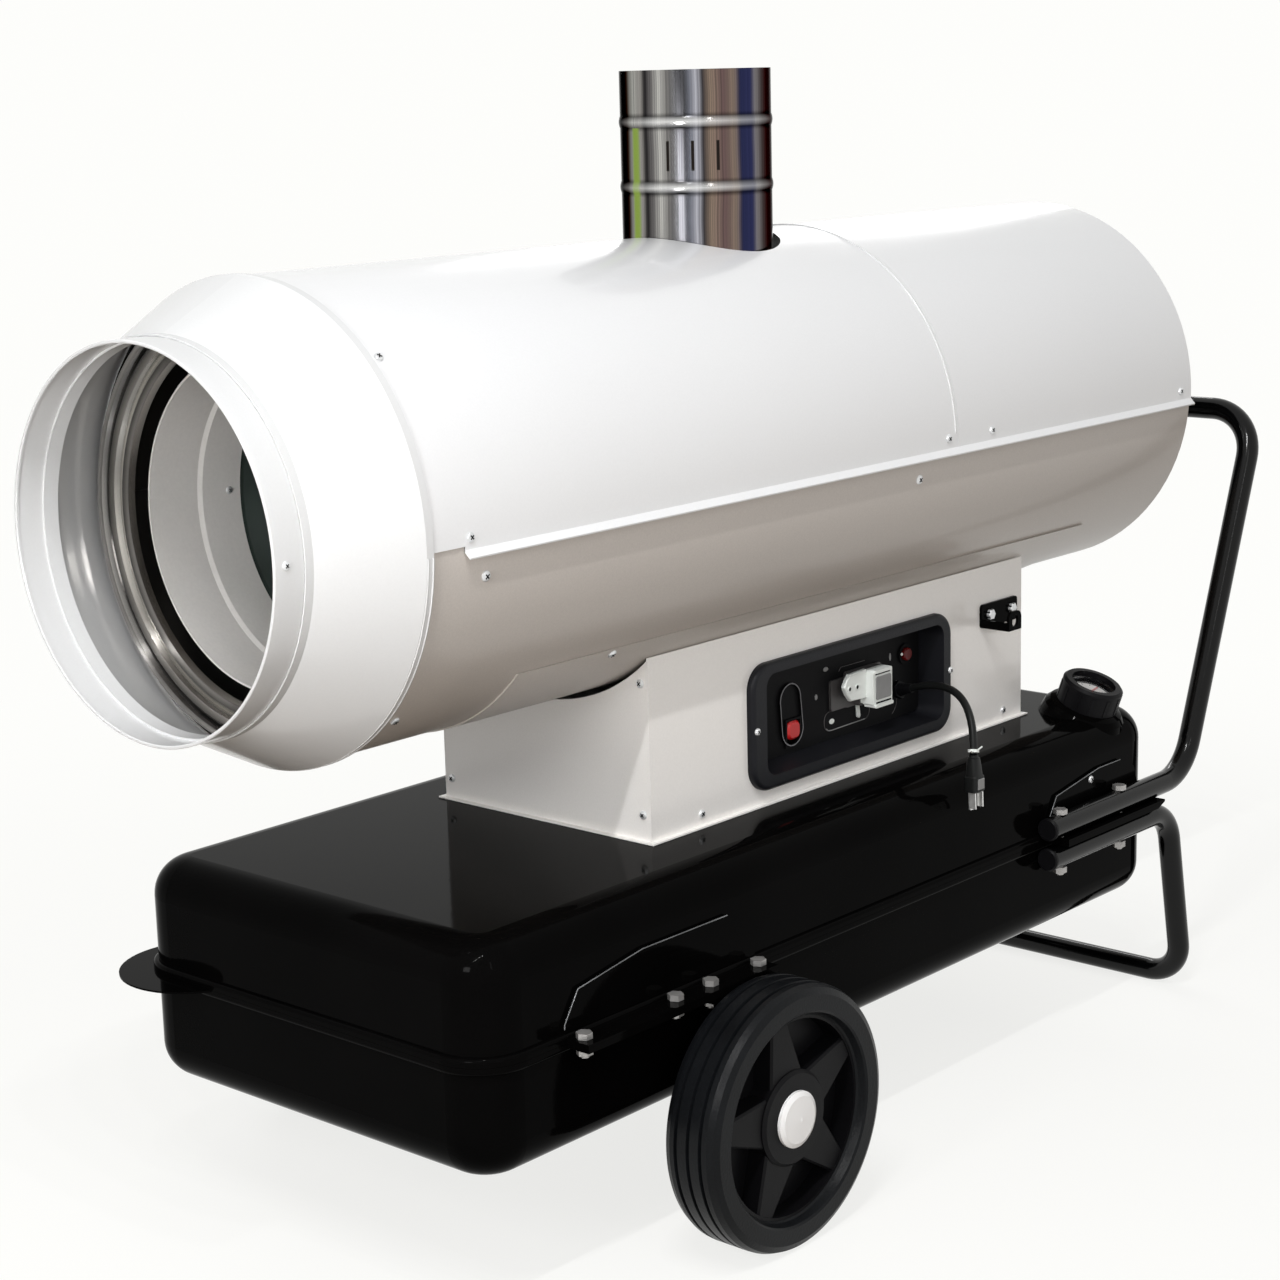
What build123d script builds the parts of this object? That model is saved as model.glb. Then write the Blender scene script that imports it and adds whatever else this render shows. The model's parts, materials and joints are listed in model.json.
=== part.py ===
from build123d import *
from math import cos, hypot, radians, sin, sqrt, tan
import os

# Indirect-fired oil heater on two wheels, in millimetres.
# +X runs along the heater from the warm-air outlet (-X) to the fan inlet (+X).
# The control panel faces -Y, +Z is up and the floor is z = 0.

# Sheet and levels
SHEET = 1.5
TANK_BOTTOM = 130.0
SEAM_Z = 239.9
TANK_TOP = 346.0
AXIS_Z = 687.0
FLUE_X = 1.0

# Casing
CASE_FRONT = -593.0
CASE_REAR = 615.0
CASE_SPLIT_X = 151.0
UPPER_R = 210.9
LOWER_R = 209.2
LIP_START = -549.0
SADDLE_FRONT = -442.0
SADDLE_REAR = 470.0
SADDLE_HALF_ANGLE = 49.5

# Outlet
MOUTH_X = -715.5
COLLAR_R = 168.9
NECK_X = -676.0
DUCT_R = 148.0
DUCT_FRONT = -588.0
DRUM_FRONT = -486.0
DRUM_REAR = 300.0
DRUM_R = 150.0
CHAMBER_R = 102.0

# Flue
FLUE_R = 75.0
FLUE_TOP = 1058.0
FLUE_FOOT = AXIS_Z + 152.0
FLUE_BEADS = (1008.5, 945.5)
FLUE_SLOT_Z = (962.0, 990.5)
FLUE_SLOT_ANGLES = (-161.5, -142.5, -123.5)

# Base box
BASE_FRONT = -247.0
BASE_REAR = 380.0
BASE_HALF = 137.5

# Control panel
BEZEL_X = (-103.0, 235.0)
BEZEL_Z = (361.5, 490.0)
BEZEL_FRONT = -146.0
FACE_Y = -115.0
TRAY_X = (-82.0, 219.0)
TRAY_Z = (376.0, 479.0)
SWITCH_AT = (-6.0, 402.0)
RESET_AT = (187.0, 448.0)
PLUG_AT = (115.0, 429.0)

# Tank
TANK_X = (-571.5, 513.0)
TANK_HALF = 230.5
TANK_CORNER = 48.0
TANK_EDGE = 36.0
TANK_WALL = 2.5
BELT_OUT = 5.0
BELT_HALF = 8.0
EAR_CENTRE = (-536.0, 182.0)
EAR_R = 76.0
BRACKET_Y = (231.0, 235.8, 261.0)
ANGLE_Z = (241.8, 244.2)
STRAP_LOW = 236.2
FRONT_BRACKET = (-475.0, -214.0)
REAR_BRACKET = (286.0, 486.0)
FRONT_BOLTS = (-464.0, -343.0, -294.0, -225.0)
REAR_BOLTS = (292.0, 412.0)
BOLT_Y = 246.0
BOLT_R = 4.0

# Filler and gauge
FILLER_BASE = Vector(435.4, -185.4, TANK_TOP)
FILLER_DIR = Vector(0, -0.34, 0.94).normalized()
CAP_R = 34.3
CAP_TOP = 37.0

# Wheels and tubes
WHEEL_X = -268.0
WHEEL_R = 125.0
TYRE_Y = (268.5, 328.5)
RIM_R = 95.0
HUB_TURN = -10.0
RIM_SET = 10.0
AXLE_R = 10.0
TUBE_R = 12.5
TUBE_BORE = 10.7
TUBE_Y = 246.0
BAR_X = 703.0
BAR_Z = 657.0
HANDLE_LOW_Z = 256.9
FOOT_HIGH_Z = 223.5
FOOT_X = 556.0
TUBE_START = 270.0

# Fan and motor
FAN_X = 400.0
FAN_R = 188.0
MOTOR_X = (445.0, 560.0)
MOTOR_R = 66.0
SHAFT_R = 7.0

# Power cord
CORD_R = 4.0
GLAND_AT = Vector(171.0, -116.5, 411.0)
GLAND_DIR = Vector(-0.12, -0.96, 0.25).normalized()
GLAND_LENGTH = 25.0
CORD_POINTS = [
    (167.0, -147.3, 420.1),
    (164.2, -165.6, 424.7),
    (159.7, -187.0, 427.1),
    (152.5, -207.6, 425.0),
    (143.6, -225.4, 416.9),
    (134.5, -238.6, 402.6),
    (126.6, -246.6, 384.2),
    (123.4, -248.6, 372.0),
]
PLUG_DIR = Vector(0.02, -0.02, -1.0).normalized()


def heater_axis():
    return Axis((0, 0, AXIS_Z), (1, 0, 0))


def spun(points, arc=360.0):
    """Turn an (x, radius) outline about the heater's axis."""
    outline = Polyline([(x, AXIS_Z + r) for x, r in points], close=True)
    return revolve(Plane.XZ * make_face(outline), heater_axis(), arc)


def box(x, y, z):
    """A block between two values along each axis."""
    size = (x[1] - x[0], y[1] - y[0], z[1] - z[0])
    middle = ((x[0] + x[1]) / 2, (y[0] + y[1]) / 2, (z[0] + z[1]) / 2)
    return Pos(*middle) * Box(*size)


def rod(start, end, radius):
    """A round bar from one point to another."""
    a = Vector(*start)
    b = Vector(*end)
    way = b - a
    return extrude(Plane(origin=a, z_dir=way.normalized()) * Circle(radius), way.length)


def across(outline, y0, y1):
    """Extrude an (x, z) outline from y0 to y1."""
    face = Plane.XZ.offset(-y0) * make_face(Polyline(outline, close=True))
    return extrude(face, -(y1 - y0))


def along(outline, x0, x1):
    """Extrude a (y, z) face from x0 to x1."""
    return extrude(Plane.YZ.offset(x0) * outline, x1 - x0)


def mirrored(solid):
    return mirror(solid, Plane.XZ)


def both_sides(*solids):
    return Compound(children=list(solids) + [mirrored(solid) for solid in solids])


def hexagon(place, across_flats, height):
    return extrude(place * RegularPolygon(across_flats / sqrt(3), 6), height)


# Casing

def upper_section(radius, foot, lip):
    """Half ring, in y and z about the heater's axis, with skirts down to foot below it."""
    ring = Circle(radius) - Circle(radius - SHEET)
    ring -= Pos(0, -radius - foot) * Rectangle(3 * radius, 2 * radius)
    if lip:
        half = sqrt(radius**2 - foot**2)
        skirt = Polyline(
            (half - SHEET, 1 - foot),
            (half, 1 - foot),
            (half + 5.5, -foot - 5.0),
            (half + 5.0, -foot - 6.4),
            (half - SHEET, -foot - 0.4),
            close=True,
        )
        lip_face = make_face(skirt)
        ring += lip_face
        ring += mirror(lip_face, Plane.YZ)
    return Pos(0, AXIS_Z) * ring


def flue_hole():
    return Pos(FLUE_X + 3, 0, AXIS_Z + 150) * Cylinder(80.5, 200)


def casing_upper_front():
    body = along(upper_section(UPPER_R, 4.0, False), CASE_FRONT, CASE_SPLIT_X)
    body += along(upper_section(UPPER_R, 8.0, True), LIP_START, CASE_SPLIT_X)
    return body - flue_hole()


def casing_upper_rear():
    body = along(upper_section(UPPER_R, 8.0, True), CASE_SPLIT_X + 0.4, CASE_REAR)
    lap = UPPER_R - SHEET - 0.2
    joggle = spun([
        (CASE_SPLIT_X - 22, lap),
        (CASE_SPLIT_X + 2.0, lap),
        (CASE_SPLIT_X + 2.0, UPPER_R - 0.7),
        (CASE_SPLIT_X + 4.0, UPPER_R - 0.7),
        (CASE_SPLIT_X + 4.0, lap - SHEET),
        (CASE_SPLIT_X - 22, lap - SHEET),
    ])
    rim = spun([
        (CASE_REAR - SHEET, UPPER_R - 0.5),
        (CASE_REAR, UPPER_R - 0.5),
        (CASE_REAR, UPPER_R - 10),
        (CASE_REAR - SHEET, UPPER_R - 10),
    ])
    keep = box((0, 700), (-250, 250), (AXIS_Z + 10, AXIS_Z + 250))
    keep_rim = box((0, 700), (-250, 250), (AXIS_Z + 7.4, AXIS_Z + 250))
    return body + (joggle & keep) + (rim & keep_rim)


def casing_lower():
    shell = spun([
        (CASE_FRONT + 0.5, LOWER_R),
        (CASE_REAR - 0.2, LOWER_R),
        (CASE_REAR - 0.2, LOWER_R - SHEET),
        (CASE_FRONT + 0.5, LOWER_R - SHEET),
    ])
    shell -= box((-800, 800), (-300, 300), (AXIS_Z + 7, AXIS_Z + 300))
    rim = spun([
        (CASE_REAR - SHEET - 0.2, LOWER_R - 0.5),
        (CASE_REAR - 0.2, LOWER_R - 0.5),
        (CASE_REAR - 0.2, LOWER_R - 9),
        (CASE_REAR - SHEET - 0.2, LOWER_R - 9),
    ])
    rim -= box((500, 700), (-300, 300), (AXIS_Z - 0.3, AXIS_Z + 300))
    slot = box((296, 350), (-45, 45), (AXIS_Z - 230, AXIS_Z - 180))
    return shell + rim - slot


def saddle_sheet():
    inner = LOWER_R + 0.2
    sheet = spun([
        (SADDLE_FRONT, inner + SHEET),
        (SADDLE_REAR, inner + SHEET),
        (SADDLE_REAR, inner),
        (SADDLE_FRONT, inner),
    ])
    level = AXIS_Z - (inner + SHEET) * cos(radians(SADDLE_HALF_ANGLE))
    sheet -= box((-800, 800), (-300, 300), (level, AXIS_Z + 300))
    return sheet - box((296, 350), (-45, 45), (AXIS_Z - 230, AXIS_Z - 180))


# Outlet

def outlet_cone():
    outer = UPPER_R + 0.2
    return spun([
        (CASE_FRONT + 7, outer),
        (CASE_FRONT + 7, outer + SHEET),
        (CASE_FRONT - 1, outer + SHEET),
        (NECK_X - 0.4, COLLAR_R + 0.1 + SHEET),
        (NECK_X - 9, COLLAR_R + 0.1 + SHEET),
        (NECK_X - 9, COLLAR_R + 0.1),
        (NECK_X, COLLAR_R + 0.1),
        (CASE_FRONT - 0.4, outer),
    ])


def outlet_collar():
    """Collar with a rolled mouth, stepped in where the cone's neck covers it."""
    inner = COLLAR_R - SHEET
    hidden = COLLAR_R - 1.9
    step = NECK_X - 9.4
    return spun([
        (MOUTH_X + 0.8, inner - 1.6),
        (MOUTH_X, inner - 0.8),
        (MOUTH_X, COLLAR_R - 0.8),
        (MOUTH_X + 0.8, COLLAR_R),
        (step, COLLAR_R),
        (step, hidden),
        (NECK_X + 4, hidden),
        (NECK_X + 4, hidden - SHEET),
        (step - SHEET, hidden - SHEET),
        (step - SHEET, inner),
        (MOUTH_X + 4, inner),
        (MOUTH_X + 3, inner - 1.6),
    ])


def outlet_ring():
    """Polished ring with two rolled beads, fixed inside the front of the casing."""
    face = [
        (-583.0, 207.3),
        (-585.0, 207.3),
        (-585.0, 196.5),
        (-605.5, 196.5),
        (-608.0, 194.0),
        (-606.5, 190.0),
        (-601.0, 187.0),
        (-604.5, 182.5),
        (-603.0, 176.5),
        (-597.5, 173.5),
        (-600.5, 168.5),
        (-598.5, 162.5),
        (-592.5, 160.5),
    ]
    back = [
        (-591.0, 161.5),
        (-597.0, 163.5),
        (-598.8, 168.4),
        (-595.5, 173.8),
        (-601.3, 177.6),
        (-602.6, 182.4),
        (-599.0, 187.3),
        (-605.0, 191.1),
        (-606.0, 193.6),
        (-604.9, 195.0),
        (-583.0, 195.0),
    ]
    return spun(face + back)


def inner_duct():
    return spun([
        (DUCT_FRONT, DUCT_R),
        (DUCT_FRONT, DUCT_R - 2),
        (-534, DUCT_R - 2),
        (-530, DUCT_R - 4.5),
        (DRUM_FRONT - 0.2, DUCT_R - 4.5),
        (DRUM_FRONT - 0.2, DUCT_R - 3),
        (-529.4, DUCT_R - 3),
        (-533.4, DUCT_R - 0.2),
        (DUCT_FRONT + 4, DUCT_R),
    ])


def heat_exchanger():
    """Drum with a dished front, a flue socket on top and two arched feet."""
    wall = 2.0
    drum = spun([
        (DRUM_FRONT, DRUM_R),
        (DRUM_REAR, DRUM_R),
        (DRUM_REAR, 62.0),
        (DRUM_REAR - wall, 62.0),
        (DRUM_REAR - wall, DRUM_R - wall),
        (DRUM_FRONT + wall, DRUM_R - wall),
        (DRUM_FRONT + wall, 140.0),
        (DRUM_FRONT + 22, 110.0),
        (DRUM_FRONT + 34, 60.0),
        (DRUM_FRONT + 37, 0.0),
        (DRUM_FRONT + 35, 0.0),
        (DRUM_FRONT + 32, 60.0),
        (DRUM_FRONT + 20, 109.0),
        (DRUM_FRONT, 139.0),
    ])
    socket_top = FLUE_FOOT + 22
    socket = Pos(FLUE_X, 0, (AXIS_Z + 120 + socket_top) / 2) * Cylinder(
        FLUE_R + 2.1, socket_top - AXIS_Z - 120)
    inside = Pos(0, 0, AXIS_Z) * Rot(0, 90, 0) * Cylinder(DRUM_R - wall, 700)
    drum += socket - inside
    drum -= Pos(FLUE_X, 0, AXIS_Z + 150) * Cylinder(FLUE_R - 3, 120)
    drum -= Pos(FLUE_X, 0, FLUE_FOOT + 30) * Cylinder(FLUE_R + 0.1, 60)
    foot_ring = Circle(LOWER_R - SHEET - 0.2) - Circle(DRUM_R - 0.5)
    foot_ring &= make_face(Polyline([(-60, 0), (60, 0), (120, -230), (-120, -230)], close=True))
    for x in (-330.0, 215.0):
        drum += along(Pos(0, AXIS_Z) * foot_ring, x, x + 3)
    return drum


def combustion_chamber():
    wall = 2.0
    return spun([
        (-350, 0.0),
        (-346, 60.0),
        (-330, 92.0),
        (-310, CHAMBER_R),
        (DRUM_REAR - 2.2, CHAMBER_R),
        (DRUM_REAR - 2.2, CHAMBER_R - wall),
        (-309, CHAMBER_R - wall),
        (-328, 91.0),
        (-344, 59.0),
        (-348, 0.0),
    ])


def burner_head():
    """Air tube with its flange, swirl plate and nozzle."""
    head = spun([
        (250, 56.0),
        (250, 58.0),
        (DRUM_REAR + 0.2, 61.5),
        (DRUM_REAR + 0.2, 84.0),
        (DRUM_REAR + 4, 84.0),
        (DRUM_REAR + 4, 60.0),
        (338, 60.0),
        (338, 57.0),
        (262, 56.5),
        (262, 20.0),
        (260, 20.0),
        (260, 56.0),
    ])
    nozzle = rod((252, 0, AXIS_Z), (340, 0, AXIS_Z), 9.0)
    for turn in range(3):
        arm = box((262, 266), (-3, 3), (AXIS_Z, AXIS_Z + 22))
        nozzle += arm.rotate(heater_axis(), 120 * turn)
    bridge = box((330, 334), (-57.5, 57.5), (AXIS_Z - 6, AXIS_Z + 6))
    return head + nozzle + bridge


# Flue

def flue_pipe():
    """Stub pipe with two rolled beads and three short slots between them."""
    inner = FLUE_R - 1.0
    points = [(inner, FLUE_FOOT), (FLUE_R, FLUE_FOOT)]
    for z in sorted(FLUE_BEADS):
        for step in range(7):
            swell = 1.3 * sin(radians(30 * step))
            points.append((FLUE_R + swell, z - 6 + 2 * step))
    points += [(FLUE_R, FLUE_TOP), (inner, FLUE_TOP)]
    outline = Polyline([(FLUE_X + r, z) for r, z in points], close=True)
    pipe = revolve(Plane.XZ * make_face(outline), Axis((FLUE_X, 0, 0), (0, 0, 1)), 360)
    low, high = FLUE_SLOT_Z
    for angle in FLUE_SLOT_ANGLES:
        slot = box((FLUE_R - 0.6, FLUE_R + 3), (-1.5, 1.5), (low, high))
        pipe -= Pos(FLUE_X, 0, 0) * Rot(0, 0, angle) * slot
    return pipe


def inlet_grille():
    """Flat wire guard: rings of square wire joined by eight spokes."""
    front = CASE_REAR - 7.0
    guard = None
    for r, wide in ((206.6, 5.0), (178, 3), (150, 3), (122, 3), (94, 3), (66, 3), (38, 3)):
        ring = spun([(front, r), (front + 3, r), (front + 3, r - wide), (front, r - wide)])
        guard = ring if guard is None else guard + ring
    for turn in range(8):
        spoke = box((front + 2.8, front + 5.3), (-1.5, 1.5), (AXIS_Z + 36, AXIS_Z + 205))
        guard += spoke.rotate(heater_axis(), 22.5 + 45 * turn)
    return guard


# Base box

def side_panel():
    """Control-side sheet of the base box, at negative y, with its foot flange."""
    y = (-BASE_HALF, -BASE_HALF + SHEET)
    top = AXIS_Z - sqrt((LOWER_R + 0.4 + SHEET)**2 - (BASE_HALF - SHEET)**2) - 0.3
    panel = box((BASE_FRONT, BASE_REAR), y, (TANK_TOP + 0.3, top))
    flange = box((BASE_FRONT - 5, BASE_REAR + 5), (-BASE_HALF - 6, -BASE_HALF + 0.5),
                 (TANK_TOP + 0.3, TANK_TOP + 0.3 + SHEET))
    return panel + flange


def base_control_side():
    window = box((TRAY_X[0] - 5, TRAY_X[1] + 5), (-BASE_HALF - 10, -BASE_HALF + 10),
                 (TRAY_Z[0] - 5, TRAY_Z[1] + 5))
    return side_panel() - window


def base_plain_side():
    return mirrored(side_panel())


def end_sheet(x0, x1, flange_x):
    """End sheet of the base box with a hollow top that clears the casing."""
    half = BASE_HALF - SHEET - 0.2
    top_r = 199.9
    drop = 18.1
    sheet = box((x0, x1), (-half, half), (TANK_TOP + 0.3, AXIS_Z - 150))
    sheet -= Pos(0, 0, AXIS_Z - drop) * Rot(0, 90, 0) * Cylinder(top_r, 2000)
    foot = box(flange_x, (-half, half), (TANK_TOP + 0.3, TANK_TOP + 0.3 + SHEET))
    return sheet + foot


def base_front_panel():
    return end_sheet(BASE_FRONT + 0.1, BASE_FRONT + 0.1 + SHEET, (BASE_FRONT - 5, BASE_FRONT + 0.6))


def base_rear_panel():
    """Rear sheet with two rows of vent slots."""
    sheet = end_sheet(BASE_REAR - 0.1 - SHEET, BASE_REAR - 0.1, (BASE_REAR - 0.6, BASE_REAR + 5))
    for row in range(2):
        for column in range(4):
            y = -72 + 48 * column
            z = TANK_TOP + 50 + 24 * row
            sheet -= box((BASE_REAR - 5, BASE_REAR + 5), (y - 16, y + 16), (z - 3, z + 3))
    return sheet


# Control panel

def rounded_block(x, z, radius, y0, y1, taper=0.0):
    """A block with rounded corners in x and z, from y0 back to y1."""
    middle = ((x[0] + x[1]) / 2, y0, (z[0] + z[1]) / 2)
    place = Plane(origin=middle, x_dir=(1, 0, 0), z_dir=(0, 1, 0))
    face = place * RectangleRounded(x[1] - x[0], z[1] - z[0], radius)
    return extrude(face, y1 - y0, taper=taper)


def control_bezel():
    """Moulded frame with a tapered tray set back into the base box."""
    frame = rounded_block(BEZEL_X, BEZEL_Z, 26.0, BEZEL_FRONT, -BASE_HALF - 0.2)
    front_edges = frame.faces().sort_by(Axis.Y)[0].edges()
    frame = fillet(front_edges, 5.0)
    wall = 2.5
    outer_x = (TRAY_X[0] - wall, TRAY_X[1] + wall)
    outer_z = (TRAY_Z[0] - wall, TRAY_Z[1] + wall)
    tray = rounded_block(outer_x, outer_z, 16.0, BEZEL_FRONT + 5, FACE_Y + 2.0, taper=8.0)
    hollow = rounded_block(TRAY_X, TRAY_Z, 14.0, BEZEL_FRONT - 0.1, FACE_Y, taper=8.0)
    sx, sz = SWITCH_AT
    floor = (FACE_Y - 5, FACE_Y + 5)
    switch_hole = box((sx - 11.5, sx + 11.5), floor, (sz - 13.5, sz + 13.5))
    button_hole = rod((RESET_AT[0], floor[0], RESET_AT[1]), (RESET_AT[0], floor[1], RESET_AT[1]), 7.4)
    return frame + tray - hollow - switch_hole - button_hole


def control_face():
    """Face plate on the floor of the tray, with its cut-outs."""
    x = (TRAY_X[0] + 5.5, TRAY_X[1] - 5.5)
    z = (TRAY_Z[0] + 5.5, TRAY_Z[1] - 5.5)
    plate = rounded_block(x, z, 9.0, FACE_Y - 1.5, FACE_Y - 0.1)
    sx, sz = SWITCH_AT
    plate -= box((sx - 13, sx + 13), (FACE_Y - 5, FACE_Y + 5), (sz - 15, sz + 15))
    plate -= rod((RESET_AT[0], FACE_Y - 5, RESET_AT[1]), (RESET_AT[0], FACE_Y + 5, RESET_AT[1]), 7.4)
    ring = rod((RESET_AT[0], FACE_Y - 4, RESET_AT[1]), (RESET_AT[0], FACE_Y - 1, RESET_AT[1]), 11.0)
    ring -= rod((RESET_AT[0], FACE_Y - 5, RESET_AT[1]), (RESET_AT[0], FACE_Y + 5, RESET_AT[1]), 7.4)
    return plate + ring


def switch_frame():
    """Rim of the rocker switch, open in the middle."""
    sx, sz = SWITCH_AT
    rim = box((sx - 12.8, sx + 12.8), (FACE_Y - 4, FACE_Y - 0.1), (sz - 14.8, sz + 14.8))
    return rim - box((sx - 10.4, sx + 10.4), (FACE_Y - 6, FACE_Y + 2), (sz - 12.6, sz + 12.6))


def power_switch():
    """Rocker, pressed at its upper end."""
    sx, sz = SWITCH_AT
    pivot = FACE_Y - 1.5
    high, low, back = 11.8, 7.0, 1.2
    outline = [
        (-high, -5.2),
        (-low, -5.6),
        (0.0, -4.4),
        (low, -5.6),
        (high, -5.2),
        (high - 1.2, 0.0),
        (5.0, back),
        (-5.0, back),
        (-high + 1.2, 0.0),
    ]
    side = Plane.YZ.offset(sx - 10.0)
    face = side * make_face(Polyline([(pivot + y, sz + z) for z, y in outline], close=True))
    rocker = extrude(face, 20.0)
    return rocker.rotate(Axis((sx, pivot, sz), (1, 0, 0)), -10)


def reset_button():
    x, z = RESET_AT
    button = rod((x, FACE_Y - 8, z), (x, FACE_Y + 3, z), 7.0)
    button = chamfer(button.faces().sort_by(Axis.Y)[0].edges(), 1.2)
    return button + rod((x, FACE_Y + 2.3, z), (x, FACE_Y + 4.3, z), 9.0)


def thermostat_socket():
    """Flange and shell of the socket for the room thermostat's plug."""
    x, z = PLUG_AT
    flange = rounded_block((x - 59, x - 30), (z - 18, z + 14), 3.0, FACE_Y - 4.5, FACE_Y - 1.6)
    flange += rounded_block((x - 34, x + 27), (z - 19, z + 19), 3.0, FACE_Y - 4.5, FACE_Y - 1.6)
    shell = rounded_block((x - 21, x + 21), (z - 18.5, z + 18.5), 2.5, FACE_Y - 12, FACE_Y - 4.4)
    shell -= rounded_block((x - 19, x + 19), (z - 16.5, z + 16.5), 2.0, FACE_Y - 13, FACE_Y - 4.4)
    latch = box((x - 33, x - 23), (FACE_Y - 13, FACE_Y - 4.4), (z - 9, z + 9))
    latch -= box((x - 30, x - 22), (FACE_Y - 10, FACE_Y - 6), (z - 10, z + 10))
    return flange + shell + latch


def thermostat_plug():
    """Removable plug that closes the thermostat circuit."""
    x, z = PLUG_AT
    body = rounded_block((x - 18.7, x + 18.7), (z - 16.2, z + 16.2), 2.0, FACE_Y - 27, FACE_Y - 4.7)
    head = rounded_block((x - 20.5, x + 20.5), (z - 18.0, z + 18.0), 3.0, FACE_Y - 27, FACE_Y - 12.3)
    wing = rounded_block((x - 37, x - 16), (z - 15, z + 15), 7.0, FACE_Y - 23, FACE_Y - 13.4)
    plug = body + head + wing
    for step in range(3):
        lift = z + 9 - 9 * step
        plug -= box((x - 20, x + 21), (FACE_Y - 28, FACE_Y - 26), (lift - 0.8, lift + 0.8))
    return plug


# Power cord

def gland_plane(distance):
    return Plane(origin=GLAND_AT + GLAND_DIR * distance, z_dir=GLAND_DIR)


def cord_start():
    return GLAND_AT + GLAND_DIR * GLAND_LENGTH


def cord_grip():
    """Hexagonal gland with a tapered, ribbed nose."""
    nut = hexagon(gland_plane(3.0), 17.0, 6.0)
    nose = loft([gland_plane(8.9) * Circle(7.2), gland_plane(GLAND_LENGTH) * Circle(CORD_R + 0.8)])
    grip = nut + nose
    for step in range(3):
        at = 11.5 + 4.0 * step
        outer = 8.5
        inner = 6.4 - 0.5 * step
        grip -= extrude(gland_plane(at) * (Circle(outer) - Circle(inner)), 1.6)
    return grip


def corner_radii(route):
    """Bend radius at each inner point: 0.45 of the shorter run over the tangent of half the turn."""
    radii = []
    for before, here, after in zip(route, route[1:], route[2:]):
        run_in = here - before
        run_out = after - here
        turn = radians(run_in.get_angle(run_out))
        radii.append(0.45 * min(run_in.length, run_out.length) / tan(turn / 2))
    return radii


def power_cord():
    route = [cord_start() + GLAND_DIR * 0.4] + [Vector(*p) for p in CORD_POINTS]
    radii = corner_radii(route)
    print("cord bend radii", [round(r, 1) for r in radii])
    path = FilletPolyline(*route, radius=radii)
    section = Plane(origin=route[0], z_dir=(route[1] - route[0]).normalized()) * Circle(CORD_R)
    cord = sweep(section, path)
    print("cord length", round(path.length, 1), "volume ratio",
          round(cord.volume / (3.14159265 * CORD_R**2 * path.length), 4))
    return cord


def plug_plane(distance):
    start = Vector(*CORD_POINTS[-1])
    return Plane(origin=start + PLUG_DIR * distance, x_dir=(1, 0, 0), z_dir=PLUG_DIR)


def cord_tie():
    """Wire tie round the cord just above the plug."""
    last = Vector(*CORD_POINTS[-1])
    way = (Vector(*CORD_POINTS[-2]) - last).normalized()
    place = Plane(origin=last + way * 1.5, z_dir=way)
    ring = extrude(place * (Circle(CORD_R + 1.8) - Circle(CORD_R + 0.05)), 3.0)
    for side in (-1, 1):
        a = last + way * 3.0 + Vector(5.2 * side, -1.5, 0)
        b = a + Vector(5.0 * side, -2.0, 3.0)
        ring += rod((a.X, a.Y, a.Z), (b.X, b.Y, b.Z), 0.9)
    return ring


def power_plug():
    """Moulded plug body, tapering from the cord to its square end."""
    neck = loft([plug_plane(0.5) * Circle(CORD_R + 1.0), plug_plane(10) * RectangleRounded(15, 13, 4)])
    body = loft([plug_plane(9.9) * RectangleRounded(15, 13, 4),
                 plug_plane(25) * RectangleRounded(24, 18, 5)])
    return neck + body


def plug_face():
    return extrude(plug_plane(25.1) * RectangleRounded(22, 16.5, 4), 14)


def plug_pins():
    pins = []
    for side in (-1, 1):
        place = plug_plane(39.2)
        blade = extrude(place * Pos(6.35 * side, 2.5) * Rectangle(1.6, 6.4), 17)
        pins.append(blade)
    pins.append(extrude(plug_plane(39.2) * Pos(0, -4.8) * Circle(2.4), 20))
    return Compound(children=pins)


def hook_bracket():
    """Bolted plate with an arm standing out from it that turns into an eye."""
    y = -BASE_HALF - 0.2
    out = y - 38
    bracket = rounded_block((298, 367), (458, 484), 4.0, y - 3, y)
    bracket += box((298, 301), (out, y - 1), (459, 468))
    eye = box((298, 322), (out, out + 3), (459, 480))
    eye = fillet(eye.edges().filter_by(Axis.Y).group_by(Axis.Z)[-1], 8.0)
    bracket += eye - rounded_block((304.5, 315.5), (463, 476), 5.0, out - 1, out + 4)
    for x in (313, 355):
        bracket += hexagon(Plane(origin=(x, y - 2.9, 472), z_dir=(0, -1, 0)), 10.0, 4.0)
    return bracket


# Tank

def tank_block(inset):
    """The tank's rounded block, drawn in by inset on every side."""
    x = (TANK_X[0] + inset, TANK_X[1] - inset)
    half = TANK_HALF - inset
    z = (TANK_BOTTOM + inset, TANK_TOP - inset)
    block = box(x, (-half, half), z)
    block = fillet(block.edges().filter_by(Axis.Z), TANK_CORNER - inset)
    ends = block.faces().filter_by(Axis.Z)
    return fillet(ends.edges(), TANK_EDGE - inset)


def seam_belt(upward):
    """Half of the belt round the tank, above or below the seam, its free edge rounded."""
    length = TANK_X[1] - TANK_X[0]
    start = SEAM_Z + 0.1 if upward else SEAM_Z - BELT_HALF
    middle = Pos((TANK_X[0] + TANK_X[1]) / 2, 0, start)
    outer = RectangleRounded(length + 2 * BELT_OUT, 2 * (TANK_HALF + BELT_OUT), TANK_CORNER + BELT_OUT)
    inner = RectangleRounded(length - 3, 2 * TANK_HALF - 3, TANK_CORNER - 1.5)
    belt = extrude(middle * (outer - inner), BELT_HALF - 0.1)
    free_face = belt.faces().sort_by(Axis.Z)[-1 if upward else 0]
    return fillet(free_face.outer_wire().edges(), 4.0)


def filler_plane(distance):
    return Plane(origin=FILLER_BASE + FILLER_DIR * distance, x_dir=(1, 0, 0.4), z_dir=FILLER_DIR)


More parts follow.
